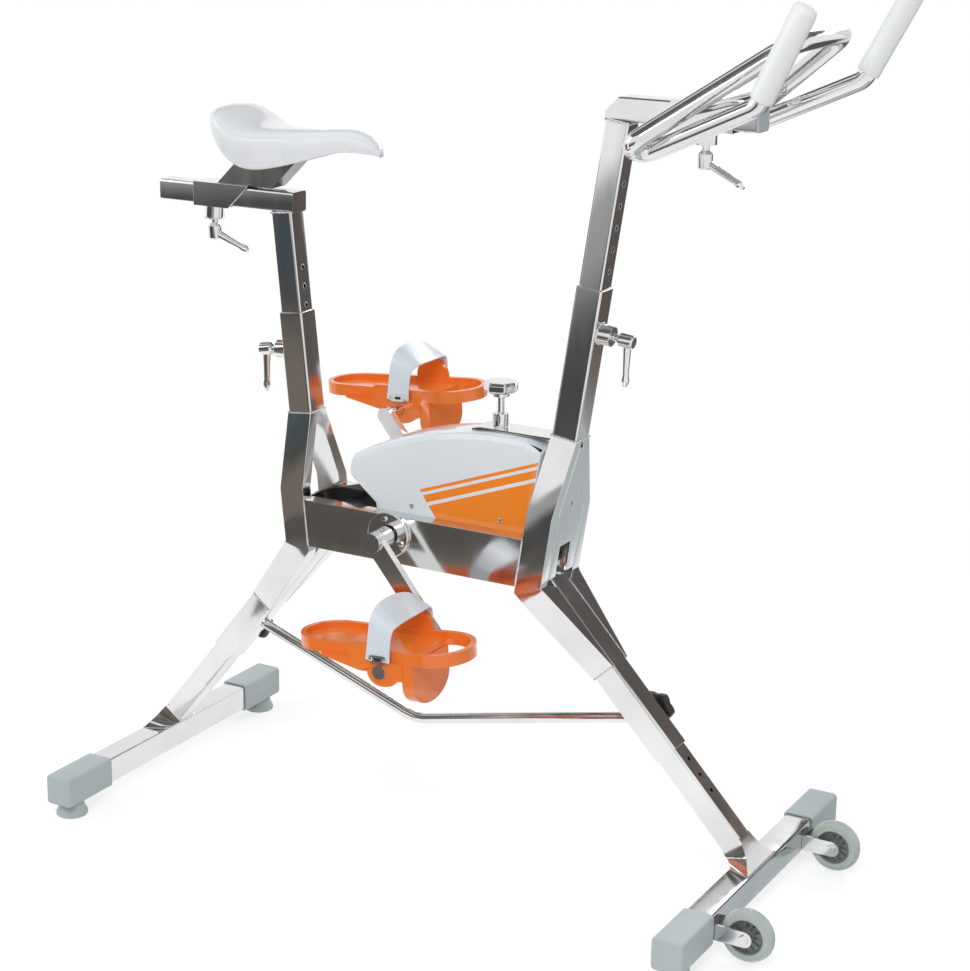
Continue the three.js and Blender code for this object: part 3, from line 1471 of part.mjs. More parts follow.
function hoodHalf(side) {
  const y = (a, b) => (side > 0 ? [a, b] : [-b, -a]);
  const whole = new THREE.ExtrudeGeometry(hoodOutline(hoodEdge), {
    depth: (hoodHalfWidth - hoodEdge) * 2, bevelEnabled: true, bevelSegments: hoodEdgeSteps,
    bevelThickness: hoodEdge, bevelSize: hoodEdge, curveSegments: 12,
  });
  whole.rotateX(Math.PI / 2).translate(0, hoodHalfWidth - hoodEdge, 0);
  const reach = crossbarSpacing;
  const half = trim(whole, box(-reach, reach, ...y(weldGap / 2, reach), beamLow, reach));
  const inner = hoodHalfWidth - hoodWall;
  const hollow = slab(hoodOutline(hoodWall), ...y(-overrun, inner), 12);
  const mouth = box(hoodToeX + hoodWall, hoodFrontX(beamLow, hoodWall), ...y(-overrun, inner),
    beamLow - overrun, beamLow + overrun);
  const through = y(inner - overrun, hoodHalfWidth + overrun);
  const seat = crossRod(flangeSpigotRadius + weldGap, crankX, crankZ, ...through);
  const screwHole = rod(screwRadius + collarWall, hoodRise).translate(flywheelX, 0, hoodTop - hoodRise / 2);
  return cut(half, hollow, mouth, seat, screwHole);
}

// Drive: pulley on the crank axle, belt, flywheel with its own pulley
const flywheelZ = beamHigh + flywheelRise;
const flywheelX = hoodFrontX(flywheelZ, hoodWall) - flywheelEndGap - flywheelRadius;
const pulleySide = hoodHalfWidth - hoodWall - pulleyWallGap - pulleyWidth / 2;
const grooveDepth = beltThickness + weldGap;

function drivePulley() {
  const half = pulleyWidth / 2;
  const bore = axleRadius + weldGap;
  const flat = half - grooveChamfer;
  const body = turned([
    [bore, -half], [pulleyRadius, -half], [pulleyRadius - grooveDepth, -flat],
    [pulleyRadius - grooveDepth, flat], [pulleyRadius, half], [bore, half], [bore, -half],
  ], 24);
  return aim(body, vec(crankX, pulleySide, crankZ), leftward, upward);
}

function flywheel() {
  const half = flywheelWidth / 2;
  const reach = hoodHalfWidth - hoodWall - weldGap;
  const p0 = pulleySide - pulleyWidth / 2;
  const p1 = pulleySide + pulleyWidth / 2;
  const groove = flywheelPulleyRadius - grooveDepth;
  const body = turned([
    [0, -reach], [flywheelShaftRadius, -reach], [flywheelShaftRadius, -half], [flywheelRadius, -half],
    [flywheelRadius, half], [flywheelShaftRadius, half],
    [flywheelPulleyRadius, p0], [groove, p0 + grooveChamfer],
    [groove, p1 - grooveChamfer], [flywheelPulleyRadius, p1], [flywheelShaftRadius, p1],
    [flywheelShaftRadius, reach], [0, reach],
  ], 28);
  return aim(body, vec(flywheelX, 0, flywheelZ), leftward, upward);
}

function beltLoop(outset) {
  const run = vec(flywheelX - crankX, 0, flywheelZ - crankZ);
  const driveEnd = pulleyRadius - beltThickness + outset;
  const discEnd = flywheelPulleyRadius - beltThickness + outset;
  const line = Math.atan2(run.z, run.x);
  const spread = Math.acos((driveEnd - discEnd) / run.length());
  const shape = new THREE.Shape();
  shape.absarc(crankX, crankZ, driveEnd, line + spread, line - spread + Math.PI * 2, false);
  shape.absarc(flywheelX, flywheelZ, discEnd, line - spread, line + spread, false);
  return shape;
}

function belt() {
  const outer = beltLoop(beltThickness);
  outer.holes.push(new THREE.Path(beltLoop(0).getPoints(8)));
  return slab(outer, pulleySide - beltWidth / 2, pulleySide + beltWidth / 2, 8);
}

// Brake: shoe over the flywheel's rim, pushed down by the knob's screw
const shoeHigh = flywheelZ + flywheelRadius + shoeGap + shoeThickness;
const topPlateLow = hoodTop + topPlateLift;
const topPlateHigh = topPlateLow + topPlateThickness;

function brakeShoe() {
  const radius = flywheelRadius + shoeGap;
  const low = flywheelZ + Math.sqrt(radius ** 2 - (shoeLength / 2) ** 2);
  const ends = [flywheelX - shoeLength / 2, flywheelX + shoeLength / 2];
  const block = box(...ends, -shoeWidth / 2, shoeWidth / 2, low, shoeHigh);
  const drum = crossRod(radius, flywheelX, flywheelZ, -shoeWidth, shoeWidth, 56);
  const collar = rod(screwRadius + collarWall, collarHeight + partSink);
  const bore = rod(screwRadius + runningClearance, socketDepth + collarHeight + overrun);
  const body = join(block, collar.translate(flywheelX, 0, shoeHigh - partSink));
  return cut(body, drum, bore.translate(flywheelX, 0, shoeHigh - socketDepth));
}

// Top plate: level strip from the mast over the hood, its rear edge turned down, with a slotted tower
function topPlate() {
  const rear = flywheelX - topPlateBack;
  const bend = rear + topPlateTab;
  const frontX = (z) => mastX(frontMast, z, -sleeveSize / 2) - weldGap;
  const sheet = slab([
    [rear, topPlateLow - topPlateTabDrop], [bend, topPlateLow], [frontX(topPlateLow), topPlateLow],
    [frontX(topPlateHigh), topPlateHigh], [bend, topPlateHigh], [rear, topPlateHigh - topPlateTabDrop],
  ], -topPlateHalfWidth, topPlateHalfWidth);
  const tower = rod(towerRadius, towerHeight + partSink).translate(flywheelX, 0, topPlateHigh - partSink);
  const slot = box(flywheelX - towerSlotWidth / 2, flywheelX + towerSlotWidth / 2, -towerRadius - overrun,
    towerRadius + overrun, topPlateHigh + towerFloor, topPlateHigh + towerHeight - towerFloor);
  const bore = rod(screwRadius + runningClearance, towerHeight + (topPlateThickness + overrun) * 2);
  return cut(join(sheet, tower), slot, bore.translate(flywheelX, 0, topPlateLow - overrun));
}

function brakeKnob() {
  const headLow = topPlateHigh + brakeKnobRise;
  const screwLow = shoeHigh - socketDepth + shoeRise + weldGap;
  const screw = rod(screwRadius, headLow + partSink - screwLow, 16).translate(flywheelX, 0, screwLow);
  const hubLow = headLow + partSink - brakeHubHeight;
  const hub = rod(brakeHubRadius, brakeHubHeight, 12).translate(flywheelX, 0, hubLow);
  const head = lobedKnob(brakeKnobRadius, brakeKnobThickness, brakeKnobLobeCount, brakeKnobLobeShare);
  return join(screw, hub, head.translate(flywheelX, 0, headLow));
}

// Rear hood bracket: cross plate between the rear side tubes with a tongue to the hood's chin
function rearBracket() {
  const half = sleeveSize / 2;
  const inner = frameInner - weldGap;
  const low = beamHigh - bracketDrop;
  const high = beamHigh + bracketLip;
  const face = (z, depth) => mastX(rearMast, z, half - depth);
  const cross = slab([
    [face(low, bracketPlateThickness), low], [face(low, 0), low], [face(high, 0), high],
    [face(high, bracketPlateThickness), high],
  ], -inner, inner);
  const tongueEnd = hoodHeel.x - hoodEdge - tongueGap;
  const tongue = slab([
    [face(low, partSink), low], [tongueEnd, low], [tongueEnd, hoodHeel.z],
    [hoodChin.x - tongueGap, high + tongueRise], [face(high, partSink), high],
  ], -bracketPlateThickness / 2, bracketPlateThickness / 2);
  return join(cross, tongue);
}

function build() {
  const frontLine = [frontMast, frontLeg, frontSleeveLow, frontKink, frontMergeLength];
  const rearLine = [rearMast, rearLeg, rearSleeveLow, rearKink, rearMergeLength];
  const saddleClampX = saddleSliderRear + saddleClampIn;
  const barClampX = barSliderRear + barClampIn;
  add('front_mast_sleeve', mastSleeve(frontMast, frontSleeveLow, frontSleeveHigh, frontClampUp, 1), 'steel');
  add('rear_mast_sleeve', mastSleeve(rearMast, rearSleeveLow, rearSleeveHigh, rearClampUp, -1), 'steel');
  addPair('front_side_tube', (side) => sideTube(...frontLine, side), 'steel');
  addPair('rear_side_tube', (side) => sideTube(...rearLine, side), 'steel');
  add('front_gusset', gusset(frontMast, frontSleeveLow, frontKink), 'steel');
  addPair('beam', beam, 'steel');
  add('front_leg_sleeve', legSleeve(frontLeg, frontLegSleeveEnd, frontStarDown), 'steel');
  add('rear_leg_sleeve', legSleeve(rearLeg, rearLegSleeveEnd, rearStarDown), 'steel');
  add('stretcher', stretcher(), 'steel');
  add('top_plate', topPlate(), 'steel');
  add('rear_bracket', rearBracket(), 'steel');
  addPair('hood', hoodHalf, 'hood');
  addPair('bearing_flange', flange, 'steel');
  add('crank_axle', crossRod(axleRadius, crankX, crankZ, -axleEnd, axleEnd, 24), 'darkSteel');
  addPair('crank_arm', crankArm, 'steel');
  addPair('pedal', (side) => ontoCrank(pedalBody(), side), 'orange');
  addPair('strap', (side) => ontoCrank(strapBody(), side), 'strap');
  add('drive_pulley', drivePulley(), 'darkSteel');
  add('drive_belt', belt(), 'black');
  add('flywheel', flywheel(), 'darkSteel');
  add('brake_shoe', brakeShoe(), 'black');
  add('brake_knob', brakeKnob(), 'steel');
  add('seat_post', seatPost(), 'steel');
  add('saddle_slider', saddleSlider(), 'steel');
  add('saddle_bracket', saddleBracket(), 'darkSteel');
  add('saddle', saddle(), 'white');
  add('bar_post', barPost(), 'steel');
  add('carrier_plug', carrierPlug(), 'capPlastic');
  add('bar_slider', barSlider(), 'steel');
  add('handlebar', handlebar(), 'steel');
  addPair('grip', grip, 'white');
  add('front_leg', innerLeg(frontLeg, frontLegSleeveEnd), 'steel');
  add('rear_leg', innerLeg(rearLeg, rearLegSleeveEnd), 'steel');
  addPair('front_cap', (side) => endCap(frontLeg.crossX, side), 'capPlastic');
  addPair('rear_cap', (side) => endCap(rearLeg.crossX, side), 'capPlastic');
  addPair('front_foot', (side) => footPad(frontLeg.crossX, side), 'capPlastic');
  addPair('rear_foot', (side) => footPad(rearLeg.crossX, side), 'capPlastic');
  addPair('wheel', wheel, 'tyre');
  addPair('wheel_fork', fork, 'steel');
  add('front_mast_lever', mastLever(frontMast, frontClampUp, 1), 'steel');
  add('rear_mast_lever', mastLever(rearMast, rearClampUp, -1), 'steel');
  add('saddle_lever', sliderLever(saddleClampX, saddleSliderLow, saddleLeverSlopeShare), 'steel');
  add('bar_lever', sliderLever(barClampX, barSliderLow, barLeverSlopeShare), 'steel');
  add('front_star_knob', starKnob(frontLeg, frontStarDown), 'black');
  add('rear_star_knob', starKnob(rearLeg, rearStarDown), 'black');
}

build();

// The footprint's middle becomes the origin
const frontReach = wheelX + wheelRadius;
const rearReach = crossbarSpacing / 2 + Math.max(footRadius, crossbarSize / 2 + weldGap + capWall);
parts.position.set((rearReach - frontReach) / 2, 0, 0);
parts.updateMatrixWorld(true);

export default parts;
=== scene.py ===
import json
import math

import bmesh
import bpy
from mathutils import Matrix, Vector, noise


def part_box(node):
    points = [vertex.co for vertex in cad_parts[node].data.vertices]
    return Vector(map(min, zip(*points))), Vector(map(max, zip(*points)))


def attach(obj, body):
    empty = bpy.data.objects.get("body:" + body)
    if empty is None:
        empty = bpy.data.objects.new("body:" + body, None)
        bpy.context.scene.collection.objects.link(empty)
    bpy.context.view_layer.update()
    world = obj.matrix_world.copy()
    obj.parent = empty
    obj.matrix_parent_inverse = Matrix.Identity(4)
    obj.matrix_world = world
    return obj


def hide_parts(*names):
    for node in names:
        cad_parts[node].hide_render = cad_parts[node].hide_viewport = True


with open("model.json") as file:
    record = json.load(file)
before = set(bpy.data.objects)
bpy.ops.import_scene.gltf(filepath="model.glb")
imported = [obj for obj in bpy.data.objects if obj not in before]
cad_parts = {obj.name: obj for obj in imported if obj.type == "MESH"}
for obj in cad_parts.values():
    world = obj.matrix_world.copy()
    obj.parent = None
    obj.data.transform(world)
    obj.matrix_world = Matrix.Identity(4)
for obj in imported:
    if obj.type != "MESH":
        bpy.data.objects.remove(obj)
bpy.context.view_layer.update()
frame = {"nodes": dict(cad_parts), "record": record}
scene = bpy.context.scene
MM = 0.001

# Camera, as solved from the photo: degrees, millimetres, and the focal length in the photo's pixels
AZIMUTH, ELEVATION, ROLL = 29.06, 16.44, 0.87
CAMERA_PLACE = (1546.65, -2730.8, 1471.1)
FOCAL_PIXELS, PHOTO_PIXELS, SENSOR_WIDTH = 2270.6, 971, 36

# Places of the solids that the looks follow: millimetres, and degrees for the tilt
# Those along a mast or leg count from its foot
FRAME_HALF = 59.5
BEAM_LOW, BEAM_HIGH = 428.0, 499.5
SLEEVE_HALF, POST_HALF = 20.0, 17.5
FRONT_SLEEVE_LOW, REAR_SLEEVE_LOW = 221, 195
FRONT_CLAMP, REAR_CLAMP = 376, 286.5
FRONT_POST_TOP, REAR_POST_TOP = 667.5, 491.5
FRONT_MERGE, REAR_MERGE = 155, 145
FRONT_CROSSBAR_X, REAR_CROSSBAR_X = 465.65, -545.35
CROSSBAR_TOP = 65.5
SADDLE_CLAMP = (-437.15, 0, 892.2)
CARRIER_LOW = 1085.9
BAR_REAR = 307.15
PEDAL_TILT = 4.3
PEDAL_SPINDLES = {"left": (-198.69, 196, 599.23), "right": (8.99, -196, 342.77)}


# Node graphs

class Graph:
    """A node tree, with a short call for each kind of node used here."""

    def __init__(self, tree, coordinates="Object"):
        self.tree = tree
        self.coords = self.new("TexCoord").outputs[coordinates]

    def new(self, kind, values=None, operation=None):
        """A shader node with the named inputs set."""
        made = self.tree.nodes.new("ShaderNode" + kind)
        if operation:
            made.operation = operation
        for name, value in (values or {}).items():
            made.inputs[name].default_value = value
        return made

    def link(self, start, end):
        self.tree.links.new(start, end)

    def axis(self, name):
        split = self.new("SeparateXYZ")
        self.link(self.coords, split.inputs[0])
        return split.outputs[name]

    def math(self, operation, first, second=None):
        made = self.new("Math", operation=operation)
        for slot, value in enumerate((first, second)):
            if value is None:
                continue
            if isinstance(value, (int, float)):
                made.inputs[slot].default_value = value
            else:
                self.link(value, made.inputs[slot])
        return made.outputs[0]

    def ranged(self, value, low, high, start=0.3, end=0.7):
        made = self.new("MapRange", {"From Min": start, "From Max": end, "To Min": low, "To Max": high})
        self.link(value, made.inputs["Value"])
        return made.outputs[0]

    def ramp(self, value, stops):
        """Colour that runs through the stops, each a position and a colour."""
        made = self.new("ValToRGB")
        elements = made.color_ramp.elements
        for slot, (position, colour) in ((0, stops[0]), (1, stops[-1])):
            elements[slot].position = position
            elements[slot].color = (*colour, 1)
        for position, colour in stops[1:-1]:
            elements.new(position).color = (*colour, 1)
        self.link(value, made.inputs[0])
        return made.outputs[0]

    def mix_shaders(self, factor, first, second):
        made = self.new("MixShader")
        for slot, value in enumerate((factor, first, second)):
            self.link(value, made.inputs[slot])
        return made.outputs[0]

    def seen_directly(self):
        """1 for camera, glossy and transmission rays, 0 for the others."""
        path = self.new("LightPath").outputs
        either = self.math("MAXIMUM", path["Is Camera Ray"], path["Is Glossy Ray"])
        return self.math("MAXIMUM", either, path["Is Transmission Ray"])


# Camera, light and stage: metres

def make_camera():
    azimuth, elevation, roll = math.radians(AZIMUTH), math.radians(ELEVATION), math.radians(ROLL)
    flat = math.cos(elevation)
    back = Vector((math.sin(azimuth) * flat, -math.cos(azimuth) * flat, math.sin(elevation)))
    right = Vector((math.cos(azimuth), math.sin(azimuth), 0))
    up = back.cross(right)
    across = right * math.cos(roll) + up * math.sin(roll)
    top = up * math.cos(roll) - right * math.sin(roll)
    camera = bpy.data.cameras.new("photo_camera")
    camera.sensor_width = SENSOR_WIDTH
    camera.lens = FOCAL_PIXELS * SENSOR_WIDTH / PHOTO_PIXELS
    camera.clip_start, camera.clip_end = 0.05, 60
    item = bpy.data.objects.new("photo_camera", camera)
    scene.collection.objects.link(item)
    matrix = Matrix((across, top, back)).transposed().to_4x4()
    matrix.translation = Vector(CAMERA_PLACE) * MM
    item.matrix_world = matrix
    scene.camera = item


def area_lamp(name, place, target, size, power):
    lamp = bpy.data.lights.new(name, "AREA")
    lamp.shape = "RECTANGLE"
    lamp.size, lamp.size_y = size
    lamp.energy = power
    item = bpy.data.objects.new(name, lamp)
    item.location = place
    item.rotation_euler = (Vector(target) - Vector(place)).to_track_quat("-Z", "Y").to_euler()
    scene.collection.objects.link(item)


def make_world():
    """Plain white where it is seen, and a softer sky where it lights."""
    world = bpy.data.worlds.new("studio")
    scene.world = world
    world.use_nodes = True
    world.node_tree.nodes.clear()
    graph = Graph(world.node_tree, "Generated")
    low_tone, high_tone = (0.42, 0.41, 0.41), (0.95, 0.96, 0.98)
    sky = graph.ramp(graph.axis("Z"), [(0, low_tone), (1, high_tone)])
    lit = graph.new("Background", {"Strength": 0.7})
    graph.link(sky, lit.inputs["Color"])
    seen = graph.new("Background", {"Color": (1, 1, 1, 1)})
    shown = graph.mix_shaders(graph.seen_directly(), lit.outputs[0], seen.outputs[0])
    graph.link(shown, graph.new("OutputWorld").inputs[0])


def floor_material():
    """White sheet that keeps the object's shadow near it and fades to plain white further out."""
    fade_start, fade_end = 0.9, 1.8
    sheet_tone, sheet_glow = 0.42, 0.66
    material = bpy.data.materials.new("floor_white")
    material.use_nodes = True
    graph = Graph(material.node_tree)
    bsdf = material.node_tree.nodes["Principled BSDF"]
    bsdf.inputs["Base Color"].default_value = (0.82, 0.82, 0.82, 1)
    bsdf.inputs["Roughness"].default_value = 0.9
    bsdf.inputs["Specular IOR Level"].default_value = 0.1
    sheet = graph.new("BsdfDiffuse", {"Color": (sheet_tone, sheet_tone, sheet_tone, 1)})
    glow = graph.new("Emission", {"Strength": sheet_glow})
    both = graph.new("AddShader")
    graph.link(sheet.outputs[0], both.inputs[0])
    graph.link(glow.outputs[0], both.inputs[1])
    far = graph.new("VectorMath", operation="LENGTH")
    graph.link(graph.coords, far.inputs[0])
    fade = graph.ranged(far.outputs["Value"], 0, 1, fade_start, fade_end)
    plain = graph.new("Emission", {"Strength": 1})
    shown = graph.mix_shaders(fade, both.outputs[0], plain.outputs[0])
    mixed = graph.mix_shaders(graph.seen_directly(), bsdf.outputs[0], shown)
    graph.link(mixed, material.node_tree.nodes["Material Output"].inputs[0])
    return material


def add_sheet(name, corners, material):
    mesh = bpy.data.meshes.new(name)
    mesh.from_pydata(corners, [], [(0, 1, 2, 3)])
    mesh.materials.append(material)
    sheet = bpy.data.objects.new(name, mesh)
    scene.collection.objects.link(sheet)
    return sheet


def reflected_card(name, corners, measure, stops):
    """Card that only reflections see; measure gives what its ramp of tones runs over, from its graph."""
    material = bpy.data.materials.new(name)
    material.use_nodes = True
    material.node_tree.nodes.clear()
    graph = Graph(material.node_tree)
    glow = graph.new("Emission")
    graph.link(graph.ramp(measure(graph), stops), glow.inputs["Color"])
    graph.link(glow.outputs[0], graph.new("OutputMaterial").inputs[0])
    card = add_sheet(name, corners, material)
    card.visible_camera = False
    card.visible_diffuse = False
    card.visible_shadow = False
    card.visible_transmission = False


def upright_card(name, middle, facing, width, low, high, stops):
    """Upright card with its tones set by height."""
    across = Vector((-facing[1], facing[0], 0)).normalized() * (width / 2)
    centre = Vector((middle[0], middle[1], 0))
    (x0, y0), (x1, y1) = (centre - across).xy, (centre + across).xy
    corners = [(x0, y0, low), (x1, y1, low), (x1, y1, high), (x0, y0, high)]
    reflected_card(name, corners, lambda graph: graph.ranged(graph.axis("Z"), 0, 1, low, high), stops)


def level_card(name, low, high, height, middle_tone, side_tone):
    """Level card with one tone along its middle line and the other outside it."""
    (x0, y0), (x1, y1) = low, high
    corners = [(x0, y0, height), (x1, y0, height), (x1, y1, height), (x0, y1, height)]
    middle_edge, side_edge = 0.22, 0.34
    stops = [(middle_edge, middle_tone), (side_edge, side_tone)]
    reflected_card(name, corners, lambda graph: graph.math("ABSOLUTE", graph.axis("Y")), stops)


def place_on(toward, distance, along):
    """Point at a distance from the frame against a direction, moved sideways along the card."""
    aim = Vector((toward[0], toward[1], 0)).normalized()
    point = aim * -distance + Vector((aim.y, -aim.x, 0)) * along
    return point.x, point.y


def make_stage():
    scene.view_settings.view_transform = "Standard"
    make_world()
    half = 14
    corners = [(-half, -half, 0), (half, -half, 0), (half, half, 0), (-half, half, 0)]
    floor = add_sheet("floor", corners, floor_material())

    near, deep, brown = (0.105, 0.098, 0.09), (0.078, 0.077, 0.076), (0.2, 0.172, 0.148)
    blue, umber, dusk = (0.06, 0.085, 0.1), (0.125, 0.11, 0.1), (0.1, 0.088, 0.082)
    grey, pale, haze = (0.38, 0.38, 0.385), (0.86, 0.87, 0.87), (0.5, 0.54, 0.55)
    toward = (0.48, 0.87)
    upright_card("card_beam", place_on(toward, 0.7, 0.0), toward, width=0.74, low=0.1, high=0.36, stops=[
        (0, near), (0.4, brown), (0.6, near), (1, near),
    ])
    upright_card("card_rear", place_on(toward, 0.7, -0.47), toward, width=0.7, low=0.3, high=0.96, stops=[
        (0, near), (0.12, brown), (0.42, brown), (0.58, deep), (0.72, blue), (0.8, deep), (1, grey),
    ])
    upright_card("card_front", place_on(toward, 1.4, 0.5), toward, width=1.36, low=0.04, high=0.8, stops=[
        (0, brown), (0.08, near), (0.35, deep), (0.58, deep), (0.74, grey), (0.94, grey), (1, pale),
    ])
    upright_card("card_crossbar", (-0.155, 0.92), (0, -1), width=0.15, low=0.32, high=0.5, stops=[
        (0, pale), (0.35, near), (1, deep),
    ])
    upright_card("card_side", (0.6, 0.9), (-0.25, -0.97), width=0.84, low=0.26, high=1.02, stops=[
        (0, grey), (0.12, brown), (0.3, umber), (0.9, dusk), (1, brown),
    ])
    upright_card("card_low", (0.95, 1.9), (-0.35, -0.94), width=2.6, low=0.0, high=0.24, stops=[
        (0, grey), (1, pale),
    ])
    level_card("card_overhead", (-2.6, -2.6), (2.6, 2.6), 2.4, (0.9, 0.9, 0.92), (0.14, 0.125, 0.12))
    level_card("card_ahead", (0.5, -0.15), (1.6, 2.2), 0.004, haze, haze)

    target = (0, 0, 0.6)
    area_lamp("key", (1.2, -2.6, 3.0), target, (1.8, 1.8), 56)
    area_lamp("fill", (-2.6, -1.4, 2.0), target, (1.6, 2.2), 26)
    area_lamp("back", (0.4, 2.8, 2.4), target, (2.4, 1.2), 30)


# Materials: metres

class Look(Graph):
    """A principled material with the few node chains that the finishes share."""

    def __init__(self, name, colour, roughness, metallic=0.0):
        self.material = bpy.data.materials.new(name)
        self.material.use_nodes = True
        super().__init__(self.material.node_tree)
        self.bsdf = self.tree.nodes["Principled BSDF"]
        self.set("Base Color", (*colour, 1))
        self.set("Roughness", roughness)
        self.set("Metallic", metallic)

    def set(self, name, value):
        self.bsdf.inputs[name].default_value = value

    def to(self, output, name):
        self.link(output, self.bsdf.inputs[name])

    def noise(self, scale, detail, stretch=(1, 1, 1)):
        mapping = self.new("Mapping", {"Scale": stretch})
        self.link(self.coords, mapping.inputs["Vector"])
        made = self.new("TexNoise", {"Scale": scale, "Detail": detail})
        self.link(mapping.outputs[0], made.inputs["Vector"])
        return made.outputs["Fac"]

    def blend(self, factor, first, second):
        """Mix of two colours; a Mix node keeps its colour sockets behind those of the other types."""
        first_input, second_input, colour_output = 6, 7, 2
        made = self.new("Mix")
        made.data_type = "RGBA"
        self.link(factor, made.inputs[0])
        for slot, colour in ((first_input, first), (second_input, second)):
            if isinstance(colour, tuple):
                made.inputs[slot].default_value = (*colour, 1)
            else:
                self.link(colour, made.inputs[slot])
        return made.outputs[colour_output]

    def bump(self, height, strength, distance):
        made = self.new("Bump", {"Strength": strength, "Distance": distance})
        self.link(height, made.inputs["Height"])
        self.to(made.outputs[0], "Normal")


def steel_look(name, colour=(0.82, 0.82, 0.82), low=0.07, high=0.17):
    """Polished steel: slight waves, faint lengthwise polish marks, a little cloudiness."""
    cloud_share, line_share = 0.84, 0.03
    look = Look(name, colour, 0.1, metallic=1.0)
    cloud = look.ranged(look.noise(7.0, 4.0), 0, 1)
    look.to(look.blend(cloud, colour, tuple(c * cloud_share for c in colour)), "Base Color")
    smear = look.noise(34.0, 4.0, (1, 1, 0.12))
    look.to(look.ranged(smear, low, high), "Roughness")
    waves = look.noise(11.0, 2.0)
    lines = look.noise(420.0, 2.0, (1, 1, 0.03))
    look.bump(look.math("ADD", waves, look.math("MULTIPLY", lines, line_share)), 0.06, 0.0009)
    return look.material


def plastic_look(name, colour, second, roughness, grain=0.0004, scale=260.0, coat=0.0):
    """Moulded plastic or rubber: two tones in soft clouds, a fine grain, and a gloss coat if asked."""
    smoothest, roughest = 0.85, 1.2
    look = Look(name, colour, roughness)
    cloud = look.noise(6.0, 3.0)
    look.to(look.blend(look.ranged(cloud, 0, 1), colour, second), "Base Color")
    fine = look.noise(scale, 2.0)
    look.to(look.ranged(fine, roughness * smoothest, roughness * roughest), "Roughness")
    look.bump(fine, 0.25, grain)
    if coat:
        look.set("Coat Weight", coat)
        look.set("Coat Roughness", 0.08)
    return look.material


def hood_look():
    """Glossy pale shell with plain slanting orange bars that start at a slanting line and run ahead."""
    pale, paler, orange = (0.71, 0.76, 0.79), (0.76, 0.81, 0.835), (0.9, 0.25, 0.02)
    bar_slope = 0.36
    bars = ((0.40, 0.532), (0.5375, 0.5495), (0.5545, 0.5595))
    start_slope, start = 0.7, 0.318
    side_face = 0.0335
    look = Look("hood_gloss", pale, 0.12)
    shell = look.blend(look.ranged(look.noise(5.0, 2.0), 0, 1), pale, paler)
    x, y, z = look.axis("X"), look.axis("Y"), look.axis("Z")
    slant = look.math("SUBTRACT", z, look.math("MULTIPLY", x, bar_slope))
    mask = None
    for low, high in bars:
        above, below = look.math("GREATER_THAN", slant, low), look.math("LESS_THAN", slant, high)
        inside = look.math("MULTIPLY", above, below)
        mask = inside if mask is None else look.math("MAXIMUM", mask, inside)
    ahead = look.math("GREATER_THAN", look.math("ADD", x, look.math("MULTIPLY", z, start_slope)), start)
    sides = look.math("GREATER_THAN", look.math("ABSOLUTE", y), side_face)
    mask = look.math("MULTIPLY", look.math("MULTIPLY", mask, ahead), sides)
    look.to(look.blend(mask, shell, orange), "Base Color")
    look.to(look.ranged(look.noise(160.0, 2.0), 0.09, 0.16), "Roughness")
    look.bump(look.noise(26.0, 2.0), 0.08, 0.0006)
    look.set("Coat Weight", 0.5)
    look.set("Coat Roughness", 0.04)
    return look.material


def wheel_look():
    """Clear greenish tyre over a darker spoked hub."""
    centre_x, centre_z = 0.53085, 0.0423
    hub_edge, tyre_edge = 0.0235, 0.0265
    look = Look("wheel_tint", (0.5, 0.58, 0.53), 0.14)
    x = look.math("SUBTRACT", look.axis("X"), centre_x)
    z = look.math("SUBTRACT", look.axis("Z"), centre_z)
    radius = look.math("SQRT", look.math("ADD", look.math("MULTIPLY", x, x), look.math("MULTIPLY", z, z)))
    tyre = look.ranged(radius, 0, 1, hub_edge, tyre_edge)
    look.to(look.blend(tyre, (0.2, 0.23, 0.22), (0.56, 0.63, 0.58)), "Base Color")
    look.to(look.ranged(tyre, 0.32, 0.1, 0, 1), "Roughness")
    look.bump(look.noise(90.0, 2.0), 0.15, 0.0004)
    look.set("Transmission Weight", 0.25)
    look.set("Coat Weight", 0.5)
    return look.material


def make_looks():
    """One material for each material slot of the record."""
    return {
        "stainless": steel_look("polished_stainless"),
        "drive_steel": steel_look("dull_steel", (0.33, 0.32, 0.31), low=0.22, high=0.36),
        "hood": hood_look(),
        "orange_plastic": plastic_look(
            "pedal_orange", (0.83, 0.165, 0.016), (0.9, 0.215, 0.026), 0.2,
            grain=0.0002, scale=300.0, coat=0.35,
        ),
        "strap_rubber": plastic_look(
            "strap_pale", (0.66, 0.72, 0.78), (0.72, 0.78, 0.83), 0.24,
            grain=0.0003, scale=240.0, coat=0.3,
        ),
        "black_rubber": plastic_look("belt_black", (0.012, 0.012, 0.012), (0.02, 0.02, 0.02), 0.6),
        "black_plastic": plastic_look("knob_black", (0.012, 0.012, 0.014), (0.02, 0.02, 0.022), 0.42),
        "white_plastic": plastic_look(
            "saddle_white", (0.76, 0.785, 0.795), (0.79, 0.815, 0.825), 0.14,
            grain=0.0002, scale=220.0, coat=0.3,
        ),
        "white_grip": plastic_look(
            "grip_white", (0.80, 0.82, 0.82), (0.83, 0.85, 0.85), 0.3, grain=0.00006, scale=320.0,
        ),
        "grey_plastic": plastic_look("cap_grey", (0.43, 0.49, 0.50), (0.48, 0.54, 0.55), 0.45, scale=280.0),
        "foot_rubber": plastic_look("foot_grey", (0.43, 0.49, 0.50), (0.49, 0.54, 0.55), 0.5, scale=280.0),
        "wheel_plastic": wheel_look(),
    }


# Edges of the solids: metres and degrees

